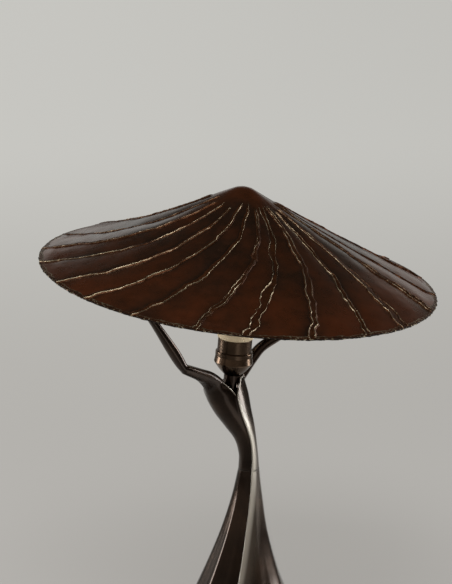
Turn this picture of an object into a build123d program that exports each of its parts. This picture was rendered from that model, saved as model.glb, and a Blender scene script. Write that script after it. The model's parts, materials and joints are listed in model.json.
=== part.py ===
from build123d import *
from math import atan2, cos, pi, radians, sin, sqrt, tan
import os

os.makedirs("parts", exist_ok=True)

# Table lamp: a headless robed figure of cast bronze holds a wide conical shade on its raised arms.
# Millimetres and degrees. Z is up, Y points away from the viewer, X to the viewer's right.
# The origin is the middle of the felt under the base.

# Shade
shade_diameter = 442.5
shade_height = 101.0
shade_wall = 1.6
shade_tip_radius = 26.0
shade_tip_slope = 28.5
rim_height = 430.0
rim_side_lean = 6.4
shade_side_lean = 5.75
shade_front_lean = 2.25
shade_axis_offset = -6.2

# Raised seams and rim band of the shade
seam_count = 21
seam_height = 1.2
seam_width = 7.0
seam_start_width = 3.0
seam_start_radius = 30.0
seam_first_azimuth = -170.9
seam_stray = 1.4
seam_swirl = 34.5
seam_swirl_change = 19.0
seam_swirl_side = -162.0
seam_swirl_power = 1.15
seam_waviness = 0.16
rim_band_width = 7.0
rim_band_height = 0.9
braze_film = 0.1

# Hands: pins on the arms that carry sockets under the shade
hand_radius = 147.5
left_hand_azimuth = 218.0
right_hand_azimuth = 32.0
socket_length = 13.0
socket_radius = 7.0
socket_flange_radius = 12.0
socket_flange_thickness = 2.0
pin_radius = 3.0
pin_length = 9.0
pin_collar_radius = 6.5
pin_collar_thickness = 3.0
pin_tail_radius = 2.5
pin_tail_length = 6.0
pin_clearance = 0.08
seat_clearance = 0.3
grub_radius = 2.0
grub_length = 3.2
grub_height = 5.0

# Robe of the figure: height, sideways drift, half breadth, half depth, turn of the wrap's free edge
facing_azimuth = -53.0
robe_fold = 2.2
robe_wall = 2.2
joint_ring = (205.0, 11.5, 11.6, 11.0, -20.0)
torso_rings = [
    joint_ring,
    (222.0, 11.0, 10.8, 10.0, -14.0),
    (240.0, 7.6, 12.6, 10.8, -8.0),
    (256.0, 1.0, 17.4, 14.2, -5.0),
    (273.0, -6.7, 22.3, 17.4, -4.0),
    (291.0, -12.8, 25.8, 19.0, -2.0),
    (306.0, -17.0, 26.0, 19.2, -1.0),
    (316.6, -14.8, 21.0, 14.4, 0.0),
]
hem_height = 1.0
skirt_rings = [
    joint_ring,
    (172.0, 9.5, 17.2, 16.6, -25.0),
    (130.0, 6.0, 27.0, 26.0, -32.0),
    (85.0, 3.0, 42.0, 40.8, -39.0),
    (42.0, 1.0, 59.0, 57.8, -46.0),
    (16.0, 0.0, 71.0, 70.0, -50.5),
    (hem_height, 0.0, 78.5, 77.5, -53.0),
]
skirt_wall = 4.5
neckline_depth = 20.5
neckline_lap = 1.6
neckline_left = 18.0
neckline_right = 16.0
collar_slope = 32.0
collar_slope_azimuth = 148.0
collar_floor = 284.0
collar_floor_radius = 12.0

# Arms: point on the limb, half width, half thickness
left_upper_arm = [
    ((-23.0, -13.0, 306.5), 9.6, 7.6),
    ((-32.5, -24.5, 317.0), 8.4, 6.8),
    ((-43.5, -35.5, 325.5), 6.8, 5.8),
]
left_elbow = ((-59.5, -50.0, 336.0), 5.8, 5.0)
right_upper_arm = [
    ((-6.5, 10.0, 302.5), 9.6, 7.8),
    ((4.0, 20.0, 313.5), 8.2, 6.6),
    ((15.0, 26.0, 326.5), 6.8, 5.6),
    ((26.0, 32.0, 338.0), 6.0, 5.0),
    ((42.0, 40.0, 346.5), 5.6, 4.6),
]
right_elbow = ((55.0, 47.0, 352.5), 5.4, 4.5)
forearm_swell = 1.12
left_forearm_bow = 2.2
right_forearm_bow = 0.5
wrist_radius = 3.5
palm_depth = 9.0
palm_radius = 5.4

# Lampholder, measured along its own leaning axis from the underside of its cap
holder_height = 315.5
holder_drift = -6.7
holder_lean = 4.5
neck_radius = 9.5
cap_radius = 21.8
cap_cone_height = 13.4
cap_cone_swell = 0.5
cap_height = 22.1
holder_wall = 1.2
flange_radius = 21.0
flange_height = 5.4
barrel_radius = 19.2
barrel_height = 14.0
thread_engagement = 2.2
block_height = 7.0
sleeve_wall = 3.6
shell_wall = 0.5
shell_depth = 17.0
contact_width = 5.0
contact_thickness = 0.6
contact_rise = 2.0
terminal_spacing = 18.0
terminal_radius = 2.6
terminal_height = 2.2

# Neck and joint tubes
nipple_radius = 5.0
nipple_bore = 3.5
nipple_grip = 16.0
sleeve_length = 27.5
locknut_flats = 14.0
locknut_height = 4.0
boss_radius = 11.0
joint_tube_radius = 6.0
joint_tube_bore = 4.0
joint_tube_grip = 12.0
slip = 0.1

# Supply wiring inside the figure
lead_radius = 2.5
lead_bend = 30.0
core_radius = 0.9
duct_radius = 4.0
block_length = 22.0
block_width = 14.0
block_depth = 12.0

# Bulb, cap fully screwed home
bulb_cap_radius = 13.1
bulb_thread_clearance = 0.07
bulb_foot_radius = 5.0
bulb_foot_height = 1.4
bulb_insulator_height = 2.6
bulb_wall = 1.0
bulb_lip_radius = 19.4
bulb_lip_height = 1.0
bulb_neck_radius = 24.4
bulb_housing_height = 22.0
bulb_globe_radius = 30.0
bulb_globe_height = 52.0
led_board_thickness = 1.6
mouth_clearance = 0.6

# Base closure
felt_thickness = 2.0
felt_radius = 69.0
plate_thickness = 3.0
plate_radius = 70.0
ledge_width = 12.0
ledge_height = 5.0
ballast_radius = 55.0
ballast_bore = 26.0
ballast_height = 22.0
cord_slot_width = 10.0
cord_slot_floor = 5.0
base_screw_count = 3
base_screw_circle = 65.0
base_screw_radius = 2.0
base_screw_head_radius = 3.6
base_screw_head_height = 2.0
base_screw_clearance = 0.2
bush_height = 19.0
bush_bore = 3.2
bush_radius = 5.0
bush_flange_radius = 7.0
bush_flange_thickness = 2.0
bush_boss_radius = 8.5
bush_boss_face = 75.0
bush_boss_length = 15.0

# Frames worked out from the sizes above
shade_radius = shade_diameter / 2
shade_foot_height = rim_height - shade_axis_offset * tan(radians(rim_side_lean))
shade_foot = Plane((shade_axis_offset, 0, shade_foot_height))
shade_frame = shade_foot.rotated((shade_front_lean, shade_side_lean, 0))
shade_section = Plane(shade_frame.origin, x_dir=shade_frame.x_dir, z_dir=-shade_frame.y_dir)
shade_axis = Axis(shade_frame.origin, shade_frame.z_dir)
rim_plane = Plane((0, 0, rim_height)).rotated((shade_front_lean, rim_side_lean, 0))

holder_frame = Plane((holder_drift, 0, holder_height)).rotated((0, holder_lean, 0))
holder_section = Plane(holder_frame.origin, x_dir=holder_frame.x_dir, z_dir=-holder_frame.y_dir)
holder_axis = Axis(holder_frame.origin, holder_frame.z_dir)

facing = Vector(cos(radians(facing_azimuth)), sin(radians(facing_azimuth)), 0)
shoulder_line = Vector(-facing.Y, facing.X, 0)

# Shade profile: a rounded tip that runs tangent into a slightly hollow flank.
# The flank runs on past the rim, so the leaning rim plane can trim it.
tip_slope = radians(shade_tip_slope)
flank_start = (shade_tip_radius * sin(tip_slope), shade_height - shade_tip_radius * (1 - cos(tip_slope)))
flank_chord = atan2(flank_start[1], shade_radius - flank_start[0])
foot_slope = 2 * flank_chord - tip_slope
rim_spare = 2 * abs(shade_axis_offset)
flank_end = (shade_radius + rim_spare, -rim_spare * tan(foot_slope))
flank_radius = (shade_radius - flank_start[0]) / (sin(tip_slope) - sin(foot_slope))
flank_centre = (
    flank_start[0] + flank_radius * sin(tip_slope),
    flank_start[1] + flank_radius * cos(tip_slope),
)


def flank_height(radius, lift):
    # height above the shade's foot of a skin that lies lift outside the outer face
    return flank_centre[1] - sqrt((flank_radius - lift) ** 2 - (radius - flank_centre[0]) ** 2)


def skin_line(lift):
    # one edge of the shade's section, from the tip to the foot
    tip = (0, shade_height + lift)
    radius = shade_tip_radius + lift
    middle = (radius * sin(tip_slope / 2), tip[1] - radius * (1 - cos(tip_slope / 2)))
    shoulder = (radius * sin(tip_slope), tip[1] - radius * (1 - cos(tip_slope)))
    end_radius = flank_end[0]
    half_radius = (shoulder[0] + end_radius) / 2
    ThreePointArc(tip, middle, shoulder)
    end = (end_radius, flank_height(end_radius, lift))
    ThreePointArc(shoulder, (half_radius, flank_height(half_radius, lift)), end)
    return tip, end


def shade_skin(inner_lift, outer_lift):
    # section of a skin between two faces parallel to the shade's outer face
    with BuildSketch(shade_section) as section:
        with BuildLine():
            inner_tip, inner_end = skin_line(inner_lift)
            outer_tip, outer_end = skin_line(outer_lift)
            Line(inner_tip, outer_tip)
            Line(inner_end, outer_end)
        make_face()
    return section.sketch


# Shade shell, raised as one cone and trimmed a little out of square at the rim
with BuildPart() as shade_shell:
    revolve(shade_skin(-shade_wall, 0), axis=shade_axis)
    split(bisect_by=rim_plane, keep=Keep.TOP)
shade_shell.part.label = "shade_shell"
export_step(shade_shell.part, "parts/shade_shell.step")

# Rim band laid on the outer face along the rim
band_rise = rim_band_width * sin(foot_slope)
band_plane = rim_plane.offset(band_rise)
with BuildPart() as shade_rim_band:
    revolve(shade_skin(braze_film, rim_band_height), axis=shade_axis)
    split(bisect_by=rim_plane, keep=Keep.TOP)
    split(bisect_by=band_plane, keep=Keep.BOTTOM)
shade_rim_band.part.label = "shade_rim_band"
export_step(shade_rim_band.part, "parts/shade_rim_band.step")


def seam_azimuth(number, radius):
    # seams swirl clockwise from the tip to the rim, most of all on one side of the shade
    rim_azimuth = seam_first_azimuth + 360 / seam_count * number + seam_stray * sin(2.36 * number - 1.06)
    swirl = seam_swirl + seam_swirl_change * cos(radians(rim_azimuth - seam_swirl_side))
    inwards = max(1 - radius / shade_radius, 0)
    return radians(rim_azimuth + swirl * inwards ** seam_swirl_power)


def seam_edge(number, side):
    # points along one torn edge of a seam, seen from above
    points = []
    stations = 9
    for step in range(stations):
        share = step / (stations - 1)
        radius = seam_start_radius + (flank_end[0] - seam_start_radius) * share
        width = seam_start_width + (seam_width - seam_start_width) * share
        width *= 1 + seam_waviness * sin(2.1 * step + 1.3 * number + 2 * side)
        angle = seam_azimuth(number, radius)
        ahead = seam_azimuth(number, radius - 1)
        lean = atan2(radius * (angle - ahead), 1)
        along = angle + lean
        x = radius * cos(angle) - side * width / 2 * sin(along)
        y = radius * sin(angle) + side * width / 2 * cos(along)
        points.append((x, y))
    return points


# Seams: overlapped sheet edges that swirl down the shade and end at the rim band
with BuildPart() as shade_seams:
    revolve(shade_skin(braze_film, seam_height), axis=shade_axis)
    with BuildSketch(shade_frame):
        for number in range(seam_count):
            with BuildLine():
                left_edge = Spline(seam_edge(number, 1))
                right_edge = Spline(seam_edge(number, -1))
                Line(left_edge @ 0, right_edge @ 0)
                Line(left_edge @ 1, right_edge @ 1)
            make_face()
    extrude(amount=2 * shade_height, both=True, mode=Mode.INTERSECT)
    split(bisect_by=band_plane, keep=Keep.TOP)
shade_seams.part.label = "shade_seams"
export_step(shade_seams.part, "parts/shade_seams.step")

# Hands: seat level and pin places in the shade's own frame
seat_level = flank_height(hand_radius, -shade_wall) - socket_length
seat_plane = shade_frame.offset(seat_level)


def hand_place(azimuth):
    return (hand_radius * cos(radians(azimuth)), hand_radius * sin(radians(azimuth)))


# Space under the shade, used to trim the sockets to the inner face
with BuildPart() as shade_space:
    with BuildSketch(shade_section):
        with BuildLine():
            inner_tip, inner_end = skin_line(-shade_wall)
            Polyline(inner_tip, (0, inner_end[1]), inner_end)
        make_face()
    revolve(axis=shade_axis)


def build_socket(azimuth):
    with BuildPart() as flange:
        revolve(shade_skin(-shade_wall - socket_flange_thickness, -shade_wall), axis=shade_axis)
        with BuildSketch(seat_plane):
            with Locations(hand_place(azimuth)):
                Circle(socket_flange_radius)
        extrude(amount=shade_height, mode=Mode.INTERSECT)
    with BuildPart() as socket:
        add(shade_space.part)
        with BuildSketch(seat_plane):
            with Locations(hand_place(azimuth)):
                Circle(socket_radius)
        extrude(amount=shade_height, mode=Mode.INTERSECT)
        add(flange.part)
        with BuildSketch(seat_plane):
            with Locations(hand_place(azimuth)):
                Circle(pin_radius + pin_clearance)
        extrude(amount=pin_length + seat_clearance, mode=Mode.SUBTRACT)
        with BuildSketch(grub_plane(azimuth)):
            Circle(grub_radius)
        extrude(amount=socket_radius, mode=Mode.SUBTRACT)
    return socket.part


def grub_plane(azimuth):
    # cross hole that points from the pin towards the middle of the shade
    x, y = hand_place(azimuth)
    origin = seat_plane.from_local_coords(Vector(x, y, grub_height))
    inward = shade_frame.x_dir * -cos(radians(azimuth)) + shade_frame.y_dir * -sin(radians(azimuth))
    return Plane(origin, x_dir=shade_frame.z_dir, z_dir=inward)


left_socket = build_socket(left_hand_azimuth)
left_socket.label = "left_socket"
export_step(left_socket, "parts/left_socket.step")
right_socket = build_socket(right_hand_azimuth)
right_socket.label = "right_socket"
export_step(right_socket, "parts/right_socket.step")

# Grub screws that lock the sockets, backed off clear of the pins
with BuildPart() as socket_screws:
    for azimuth in (left_hand_azimuth, right_hand_azimuth):
        with BuildSketch(grub_plane(azimuth).offset(pin_radius + 4 * pin_clearance)):
            Circle(grub_radius)
        extrude(amount=grub_length)
socket_screws.part.label = "socket_screws"
export_step(socket_screws.part, "parts/socket_screws.step")


def build_pin(azimuth):
    # turned pin: tail in the palm, collar on it, and the pin that the socket slips over
    collar_plane = seat_plane.offset(-seat_clearance - pin_collar_thickness)
    with BuildPart() as pin:
        with BuildSketch(collar_plane):
            with Locations(hand_place(azimuth)):
                Circle(pin_collar_radius)
        extrude(amount=pin_collar_thickness)
        with BuildSketch(collar_plane.offset(pin_collar_thickness)):
            with Locations(hand_place(azimuth)):
                Circle(pin_radius)
        extrude(amount=pin_length)
        with BuildSketch(collar_plane):
            with Locations(hand_place(azimuth)):
                Circle(pin_tail_radius)
        extrude(amount=-pin_tail_length)
        chamfer(pin.faces().sort_by(shade_axis)[-1].edges(), pin_radius / 4)
    return pin.part


left_hand_pin = build_pin(left_hand_azimuth)
left_hand_pin.label = "left_hand_pin"
export_step(left_hand_pin, "parts/left_hand_pin.step")
right_hand_pin = build_pin(right_hand_azimuth)
right_hand_pin.label = "right_hand_pin"
export_step(right_hand_pin, "parts/right_hand_pin.step")


def limb_plane(point, direction):
    # section plane across a limb, with its width seen from the front
    across = Vector(0, 1, 0).cross(direction).normalized()
    return Plane(point, x_dir=across, z_dir=direction)


def palm_point(azimuth, depth):
    x, y = hand_place(azimuth)
    return seat_plane.from_local_coords(Vector(x, y, -seat_clearance - pin_collar_thickness - depth))


def palm_plane(azimuth, depth):
    return Plane(palm_point(azimuth, depth), x_dir=shade_frame.x_dir, z_dir=shade_frame.z_dir)


def elbow_direction(upper_arm, elbow, azimuth):
    # the mitre at the elbow halves the turn between upper arm and forearm
    upper = (Vector(*elbow[0]) - Vector(*upper_arm[-1][0])).normalized()
    lower = (palm_point(azimuth, palm_depth) - Vector(*elbow[0])).normalized()
    return (upper + lower).normalized()


def arm_sections(stations, elbow, elbow_normal):
    # sections from the shoulder to the elbow's mitre plane
    chain = stations + [elbow]
    sections = []
    for index, (point, width, thickness) in enumerate(chain):
        direction = elbow_normal
        if index < len(stations):
            before = Vector(*chain[max(index - 1, 0)][0])
            direction = (Vector(*chain[index + 1][0]) - before).normalized()
        with BuildSketch(limb_plane(point, direction)) as section:
            Ellipse(width, thickness)
        sections.append(section.sketch)
    return sections


def robe_ring(level, drift, breadth, depth, edge):
    # outline of the wrapped robe at one height: a spiral whose free edge lies at the front
    points = []
    count = 16
    for step in range(count + 1):
        turn = radians(edge) + 2 * pi * step / count
        lap = robe_fold * (1 - step / count)
        points.append(((depth + lap) * cos(turn), (breadth + lap) * sin(turn)))
    with BuildSketch(Plane((drift, 0, level), x_dir=facing, z_dir=(0, 0, 1))) as ring:
        with BuildLine():
            wrap = Spline(points)
            Line(wrap @ 1, wrap @ 0)
        make_face()
    return ring.sketch


def hollow_ring(level, drift, breadth, depth):
    # plain outline of the space inside the robe
    with BuildSketch(Plane((drift, 0, level), x_dir=facing, z_dir=(0, 0, 1))) as ring:
        Ellipse(depth, breadth)
    return ring.sketch


# Inner wiring route, in the plane of the figure's sway
nipple_foot = holder_frame.from_local_coords(Vector(0, 0, -sleeve_length - nipple_grip))
nipple_top = 2 * holder_wall + locknut_height
joint_level = joint_ring[0]
joint_drift = joint_ring[1]
throat_level = joint_level - joint_tube_grip
duct_bend = Vector(joint_drift, 0, joint_level + joint_tube_grip)
plate_top = felt_thickness + plate_thickness
block_top = plate_top + block_depth
shoulder_level = torso_rings[-1][0]
collar_drop = tan(radians(collar_slope))
collar_normal = Vector(
    collar_drop * cos(radians(collar_slope_azimuth)),
    collar_drop * sin(radians(collar_slope_azimuth)),
    1,
)
collar_plane = Plane((holder_drift, 0, shoulder_level), z_dir=collar_normal)
left_mitre = elbow_direction(left_upper_arm, left_elbow, left_hand_azimuth)
right_mitre = elbow_direction(right_upper_arm, right_elbow, right_hand_azimuth)

# Torso casting: the wrapped robe above the waist joint with both upper arms
with BuildPart() as torso_casting:
    loft([robe_ring(*ring) for ring in torso_rings])
    # the collar drops towards the far shoulder
    split(bisect_by=collar_plane, keep=Keep.BOTTOM)
    loft(arm_sections(left_upper_arm, left_elbow, left_mitre))
    loft(arm_sections(right_upper_arm, right_elbow, right_mitre))
    # hollow of the collar, open at the top
    hollows = [hollow_ring(collar_floor, holder_drift, collar_floor_radius, collar_floor_radius)]
    for level, drift, breadth, depth, edge in torso_rings[-3:]:
        hollows.append(hollow_ring(level, drift, breadth - robe_wall, depth - robe_wall))
    hollows.append(hollow_ring(level + 2 * robe_wall, drift, breadth - robe_wall, depth - robe_wall))
    loft(hollows, mode=Mode.SUBTRACT)
    # V neckline, opened between the two lapels
    neck_plane = Plane((torso_rings[-2][1], 0, shoulder_level), x_dir=shoulder_line, z_dir=facing)
    with BuildSketch(neck_plane):
        with BuildLine():
            Polyline(
                (neckline_lap, -neckline_depth),
                (neckline_right, 0),
                (neckline_right, 2 * robe_wall),
                (-neckline_left, 2 * robe_wall),
                (-neckline_left, 0),
                close=True,
            )
        make_face()
    extrude(amount=4 * robe_wall + torso_rings[-2][3], mode=Mode.SUBTRACT)
    # room for the neck sleeve, and its seat square to the lampholder's axis
    with BuildSketch(holder_frame.offset(-sleeve_length)):
        Circle(neck_radius + seat_clearance)
    extrude(amount=sleeve_length, mode=Mode.SUBTRACT)
    # room for the foot of the lampholder's cap
    with BuildSketch(holder_frame):
        Circle(neck_radius + robe_wall)
    extrude(amount=2 * robe_wall, mode=Mode.SUBTRACT)
    with BuildSketch(holder_frame.offset(-sleeve_length)):
        Circle(boss_radius)
    extrude(amount=-nipple_grip)
    with BuildSketch(holder_frame.offset(-sleeve_length)):
        Circle(nipple_radius)
    extrude(amount=-nipple_grip, mode=Mode.SUBTRACT)
    # duct for the lead, from the nipple to the waist joint
    with BuildSketch(Plane(nipple_foot, z_dir=duct_bend - nipple_foot)):
        Circle(duct_radius)
    extrude(amount=(duct_bend - nipple_foot).length, mode=Mode.SUBTRACT)
    with Locations(nipple_foot, duct_bend):
        Sphere(duct_radius, mode=Mode.SUBTRACT)
    with BuildSketch(Plane((joint_drift, 0, joint_level))):
        Circle(joint_tube_radius)
    extrude(amount=joint_tube_grip, mode=Mode.SUBTRACT)
torso_casting.part.label = "torso_casting"
export_step(torso_casting.part, "parts/torso_casting.step")


def build_forearm(elbow, mitre, azimuth, bow):
    # blade-like forearm from the elbow's mitre to a small palm square to the shade's axis
    start = Vector(*elbow[0])
    palm_base = palm_point(azimuth, palm_depth)
    reach = palm_base - start
    direction = reach.normalized()
    aside = Vector(bow, 0, 0)
    with BuildPart() as forearm:
        with BuildSketch(limb_plane(elbow[0], mitre)):
            Ellipse(elbow[1], elbow[2])
        with BuildSketch(limb_plane(start + reach * 0.22 + aside * 0.5, direction)):
            Ellipse(elbow[1] * forearm_swell, elbow[2])
        with BuildSketch(limb_plane(start + reach * 0.55 + aside, direction)):
            Ellipse((elbow[1] + wrist_radius) / 2, (elbow[2] + wrist_radius) / 2)
        with BuildSketch(limb_plane(start + reach * 0.86 + aside * 0.3, direction)):
            Ellipse(wrist_radius, wrist_radius)
        for depth, radius in ((palm_depth, palm_radius), (0, pin_collar_radius)):
            with BuildSketch(palm_plane(azimuth, depth)):
                Circle(radius)
        loft()
        with BuildSketch(palm_plane(azimuth, 0)):
            Circle(pin_tail_radius)
        extrude(amount=-pin_tail_length, mode=Mode.SUBTRACT)
    return forearm.part


left_forearm = build_forearm(left_elbow, left_mitre, left_hand_azimuth, left_forearm_bow)
left_forearm.label = "left_forearm"
export_step(left_forearm, "parts/left_forearm.step")
right_forearm = build_forearm(right_elbow, right_mitre, right_hand_azimuth, right_forearm_bow)
right_forearm.label = "right_forearm"
export_step(right_forearm, "parts/right_forearm.step")

# Skirt casting: the robe below the joint, hollow, with a ledge for the base plate
with BuildPart() as skirt_casting:
    loft([robe_ring(*ring) for ring in skirt_rings])
    hollows = [hollow_ring(throat_level, joint_drift, duct_radius, duct_radius)]
    for level, drift, breadth, depth, edge in skirt_rings[1:]:
        hollows.append(hollow_ring(level, drift, breadth - skirt_wall, depth - skirt_wall))
    hollows.append(hollow_ring(-level, drift, breadth - skirt_wall + level, depth - skirt_wall + level))
    loft(hollows, mode=Mode.SUBTRACT)
    hem_inside = depth - skirt_wall
    with BuildSketch(Plane((joint_drift, 0, joint_level))):
        Circle(joint_tube_radius)
    extrude(amount=-joint_tube_grip, mode=Mode.SUBTRACT)
    # ledge that the base plate is screwed up against
    with BuildSketch(Plane((0, 0, plate_top))):
        Circle(hem_inside)
        Circle(hem_inside - ledge_width, mode=Mode.SUBTRACT)
    extrude(amount=ledge_height)
    with BuildSketch(Plane((0, 0, plate_top))):
        with PolarLocations(base_screw_circle, base_screw_count, start_angle=-90):
            Circle(base_screw_radius)
    extrude(amount=ledge_height, mode=Mode.SUBTRACT)
    # boss for the cord inlet at the back
    with BuildSketch(Plane((0, bush_boss_face, bush_height), x_dir=(-1, 0, 0), z_dir=(0, 1, 0))):
        Circle(bush_boss_radius)
    extrude(amount=-bush_boss_length)
    with BuildSketch(Plane((0, bush_boss_face, bush_height), x_dir=(-1, 0, 0), z_dir=(0, 1, 0))):
        Circle(bush_radius)
    extrude(amount=-bush_boss_length, mode=Mode.SUBTRACT)
skirt_casting.part.label = "skirt_casting"
export_step(skirt_casting.part, "parts/skirt_casting.step")

# Threaded tube that joins the two castings at the waist
with BuildPart() as joint_tube:
    with BuildSketch(Plane((joint_drift, 0, joint_level))):
        Circle(joint_tube_radius)
        Circle(joint_tube_bore, mode=Mode.SUBTRACT)
    extrude(amount=joint_tube_grip, both=True)
joint_tube.part.label = "joint_tube"
export_step(joint_tube.part, "parts/joint_tube.step")

# Neck: sleeve seen inside the collar, and the threaded nipple that clamps the lampholder to the torso
with BuildPart() as neck_sleeve:
    with BuildSketch(holder_frame):
        Circle(neck_radius)
        Circle(nipple_radius + slip, mode=Mode.SUBTRACT)
    extrude(amount=-sleeve_length)
neck_sleeve.part.label = "neck_sleeve"
export_step(neck_sleeve.part, "parts/neck_sleeve.step")

with BuildPart() as neck_nipple:
    with BuildSketch(holder_frame.offset(-sleeve_length - nipple_grip)):
        Circle(nipple_radius)
        Circle(nipple_bore, mode=Mode.SUBTRACT)
    extrude(amount=sleeve_length + nipple_grip + nipple_top)
neck_nipple.part.label = "neck_nipple"
export_step(neck_nipple.part, "parts/neck_nipple.step")

with BuildPart() as neck_locknut:
    with BuildSketch(holder_frame.offset(holder_wall)):
        RegularPolygon(locknut_flats / 2, 6, major_radius=False)
        Circle(nipple_radius, mode=Mode.SUBTRACT)
    extrude(amount=locknut_height)
neck_locknut.part.label = "neck_locknut"
export_step(neck_locknut.part, "parts/neck_locknut.step")

# Lampholder cap: a cone with a rounded shoulder and a wall that draws in to the mouth, turned from sheet
cap_bead = holder_wall
with BuildPart() as holder_cap:
    with BuildSketch(holder_section):
        with BuildLine():
            base = Line((nipple_radius + slip, 0), (neck_radius, 0))
            swell = SagittaArc(base @ 1, (cap_radius - cap_bead / 2, cap_cone_height), -cap_cone_swell)
            bead = ThreePointArc(
                swell @ 1,
                (cap_radius - cap_bead / 8, cap_cone_height + cap_bead * 0.6),
                (cap_radius, cap_cone_height + cap_bead * 1.3),
            )
            wall = Line(bead @ 1, (cap_radius - cap_bead, cap_height))
            lip = Line(wall @ 1, (cap_radius - cap_bead - holder_wall, cap_height))
            skirt = Line(lip @ 1, (cap_radius - cap_bead - holder_wall, cap_cone_height))
            inside = SagittaArc(skirt @ 1, (neck_radius - holder_wall, holder_wall), cap_cone_swell)
            floor = Line(inside @ 1, (nipple_radius + slip, holder_wall))
            Line(floor @ 1, base @ 0)
        make_face()
    revolve(axis=holder_axis)
holder_cap.part.label = "holder_cap"
export_step(holder_cap.part, "parts/holder_cap.step")

# Lampholder barrel: a threaded skirt inside the cap, a rounded flange on it, and the open barrel
barrel_foot = cap_height - thread_engagement
flange_top = cap_height + flange_height
barrel_top = flange_top + barrel_height
barrel_inside = barrel_radius - holder_wall
thread_radius = cap_radius - cap_bead - holder_wall
with BuildPart() as holder_barrel:
    with BuildSketch(holder_section):
        with BuildLine():
            Polyline(
                (barrel_inside, barrel_foot),
                (thread_radius, barrel_foot),
                (thread_radius, cap_height),
                (flange_radius, cap_height),
                (flange_radius, flange_top),
                (barrel_radius, flange_top),
                (barrel_radius, barrel_top),
                (barrel_inside, barrel_top),
                close=True,
            )
        make_face()
    revolve(axis=holder_axis)
    flange_edges = holder_barrel.edges().filter_by(GeomType.CIRCLE)
    flange_edges = flange_edges.filter_by(lambda edge: abs(edge.radius - flange_radius) < 0.01)
    fillet(flange_edges.sort_by(holder_axis)[-1], holder_wall)
    fillet(holder_barrel.edges().filter_by(GeomType.CIRCLE).sort_by(holder_axis)[-2:], holder_wall / 4)
holder_barrel.part.label = "holder_barrel"
export_step(holder_barrel.part, "parts/holder_barrel.step")

# Insulating parts of the lampholder
block_foot = barrel_foot - block_height
with BuildPart() as contact_block:
    with BuildSketch(holder_frame.offset(barrel_foot)):
        Circle(barrel_inside)
    extrude(amount=-block_height, taper=12)
    with BuildSketch(holder_frame.offset(barrel_foot)):
        with GridLocations(terminal_spacing, 0, 2, 1):
            Circle(terminal_radius / 2)
    extrude(amount=-block_height, mode=Mode.SUBTRACT)
contact_block.part.label = "contact_block"
export_step(contact_block.part, "parts/contact_block.step")

shell_inside = bulb_cap_radius + bulb_thread_clearance
shell_outside = shell_inside + shell_wall
sleeve_outside = barrel_inside - slip
sleeve_top = barrel_top - sleeve_wall / 2
with BuildPart() as insulating_sleeve:
    with BuildSketch(holder_frame.offset(barrel_foot)):
        Circle(sleeve_outside)
        Circle(shell_outside, mode=Mode.SUBTRACT)
    extrude(amount=sleeve_top - barrel_foot)
    fillet(insulating_sleeve.faces().sort_by(holder_axis)[-1].edges(), sleeve_wall / 5)
insulating_sleeve.part.label = "insulating_sleeve"
export_step(insulating_sleeve.part, "parts/insulating_sleeve.step")

# Screw shell that takes the bulb's cap, its thread left as a plain bore
with BuildPart() as screw_shell:
    with BuildSketch(holder_frame.offset(barrel_foot)):
        Circle(shell_outside)
        Circle(shell_inside, mode=Mode.SUBTRACT)
    extrude(amount=shell_depth)
screw_shell.part.label = "screw_shell"
export_step(screw_shell.part, "parts/screw_shell.step")

# Sprung centre contact, a strip bent up under the bulb's foot
contact_run = terminal_spacing / 2
contact_top = barrel_foot + contact_thickness + contact_rise
with BuildPart() as centre_contact:
    with BuildSketch(holder_section):
        with BuildLine():
            Polyline(
                (contact_run, barrel_foot),
                (contact_run, barrel_foot + contact_thickness),
                (contact_run / 2, barrel_foot + contact_thickness),
                (bulb_foot_radius / 3, contact_top),
                (-bulb_foot_radius / 3, contact_top),
                (-bulb_foot_radius / 3, contact_top - contact_thickness),
                (bulb_foot_radius / 3, contact_top - contact_thickness),
                (contact_run / 2, barrel_foot),
                close=True,
            )
        make_face()
    extrude(amount=contact_width / 2, both=True)
centre_contact.part.label = "centre_contact"
export_step(centre_contact.part, "parts/centre_contact.step")

# Terminal screws of the lampholder, heads under the block and shanks in its holes
with BuildPart() as terminal_screws:
    with BuildSketch(holder_frame.offset(block_foot)):
        with GridLocations(terminal_spacing, 0, 2, 1):
            Circle(terminal_radius)
    extrude(amount=-terminal_height)
    with BuildSketch(holder_frame.offset(block_foot)):
        with GridLocations(terminal_spacing, 0, 2, 1):
            Circle(terminal_radius / 2)
    extrude(amount=block_height - contact_thickness)
terminal_screws.part.label = "terminal_screws"
export_step(terminal_screws.part, "parts/terminal_screws.step")

# Supply lead inside the figure, from the terminal block in the base to the lampholder
lead_top = holder_frame.from_local_coords(Vector(0, 0, nipple_top))
core_height = block_foot - terminal_height - core_radius
with BuildPart() as supply_lead:
    with BuildLine():
        FilletPolyline(
            (0, 0, block_top),
            (0, 0, block_top + lead_bend),
            (joint_drift, 0, throat_level - lead_bend / 2),
            duct_bend,
            nipple_foot,
            lead_top,
            radius=lead_bend,
        )
    with BuildSketch(Plane((0, 0, block_top))):
        Circle(lead_radius)
    sweep()
supply_lead.part.label = "supply_lead"
export_step(supply_lead.part, "parts/supply_lead.step")

# Two cores that fan out from the lead's end to the terminal screws
with BuildPart() as lead_cores:
    for side in (-1, 1):
        with BuildLine(holder_section):
            FilletPolyline(
                (side * lead_radius / 2, nipple_top),
                (side * lead_radius / 2, core_height),
                (side * (terminal_spacing + terminal_radius) / 2, core_height),
                radius=(core_height - nipple_top) * 0.9,
            )
        with BuildSketch(holder_frame.offset(nipple_top)):
            with Locations((side * lead_radius / 2, 0)):
                Circle(core_radius)
        sweep()
lead_cores.part.label = "lead_cores"
export_step(lead_cores.part, "parts/lead_cores.step")

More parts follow.
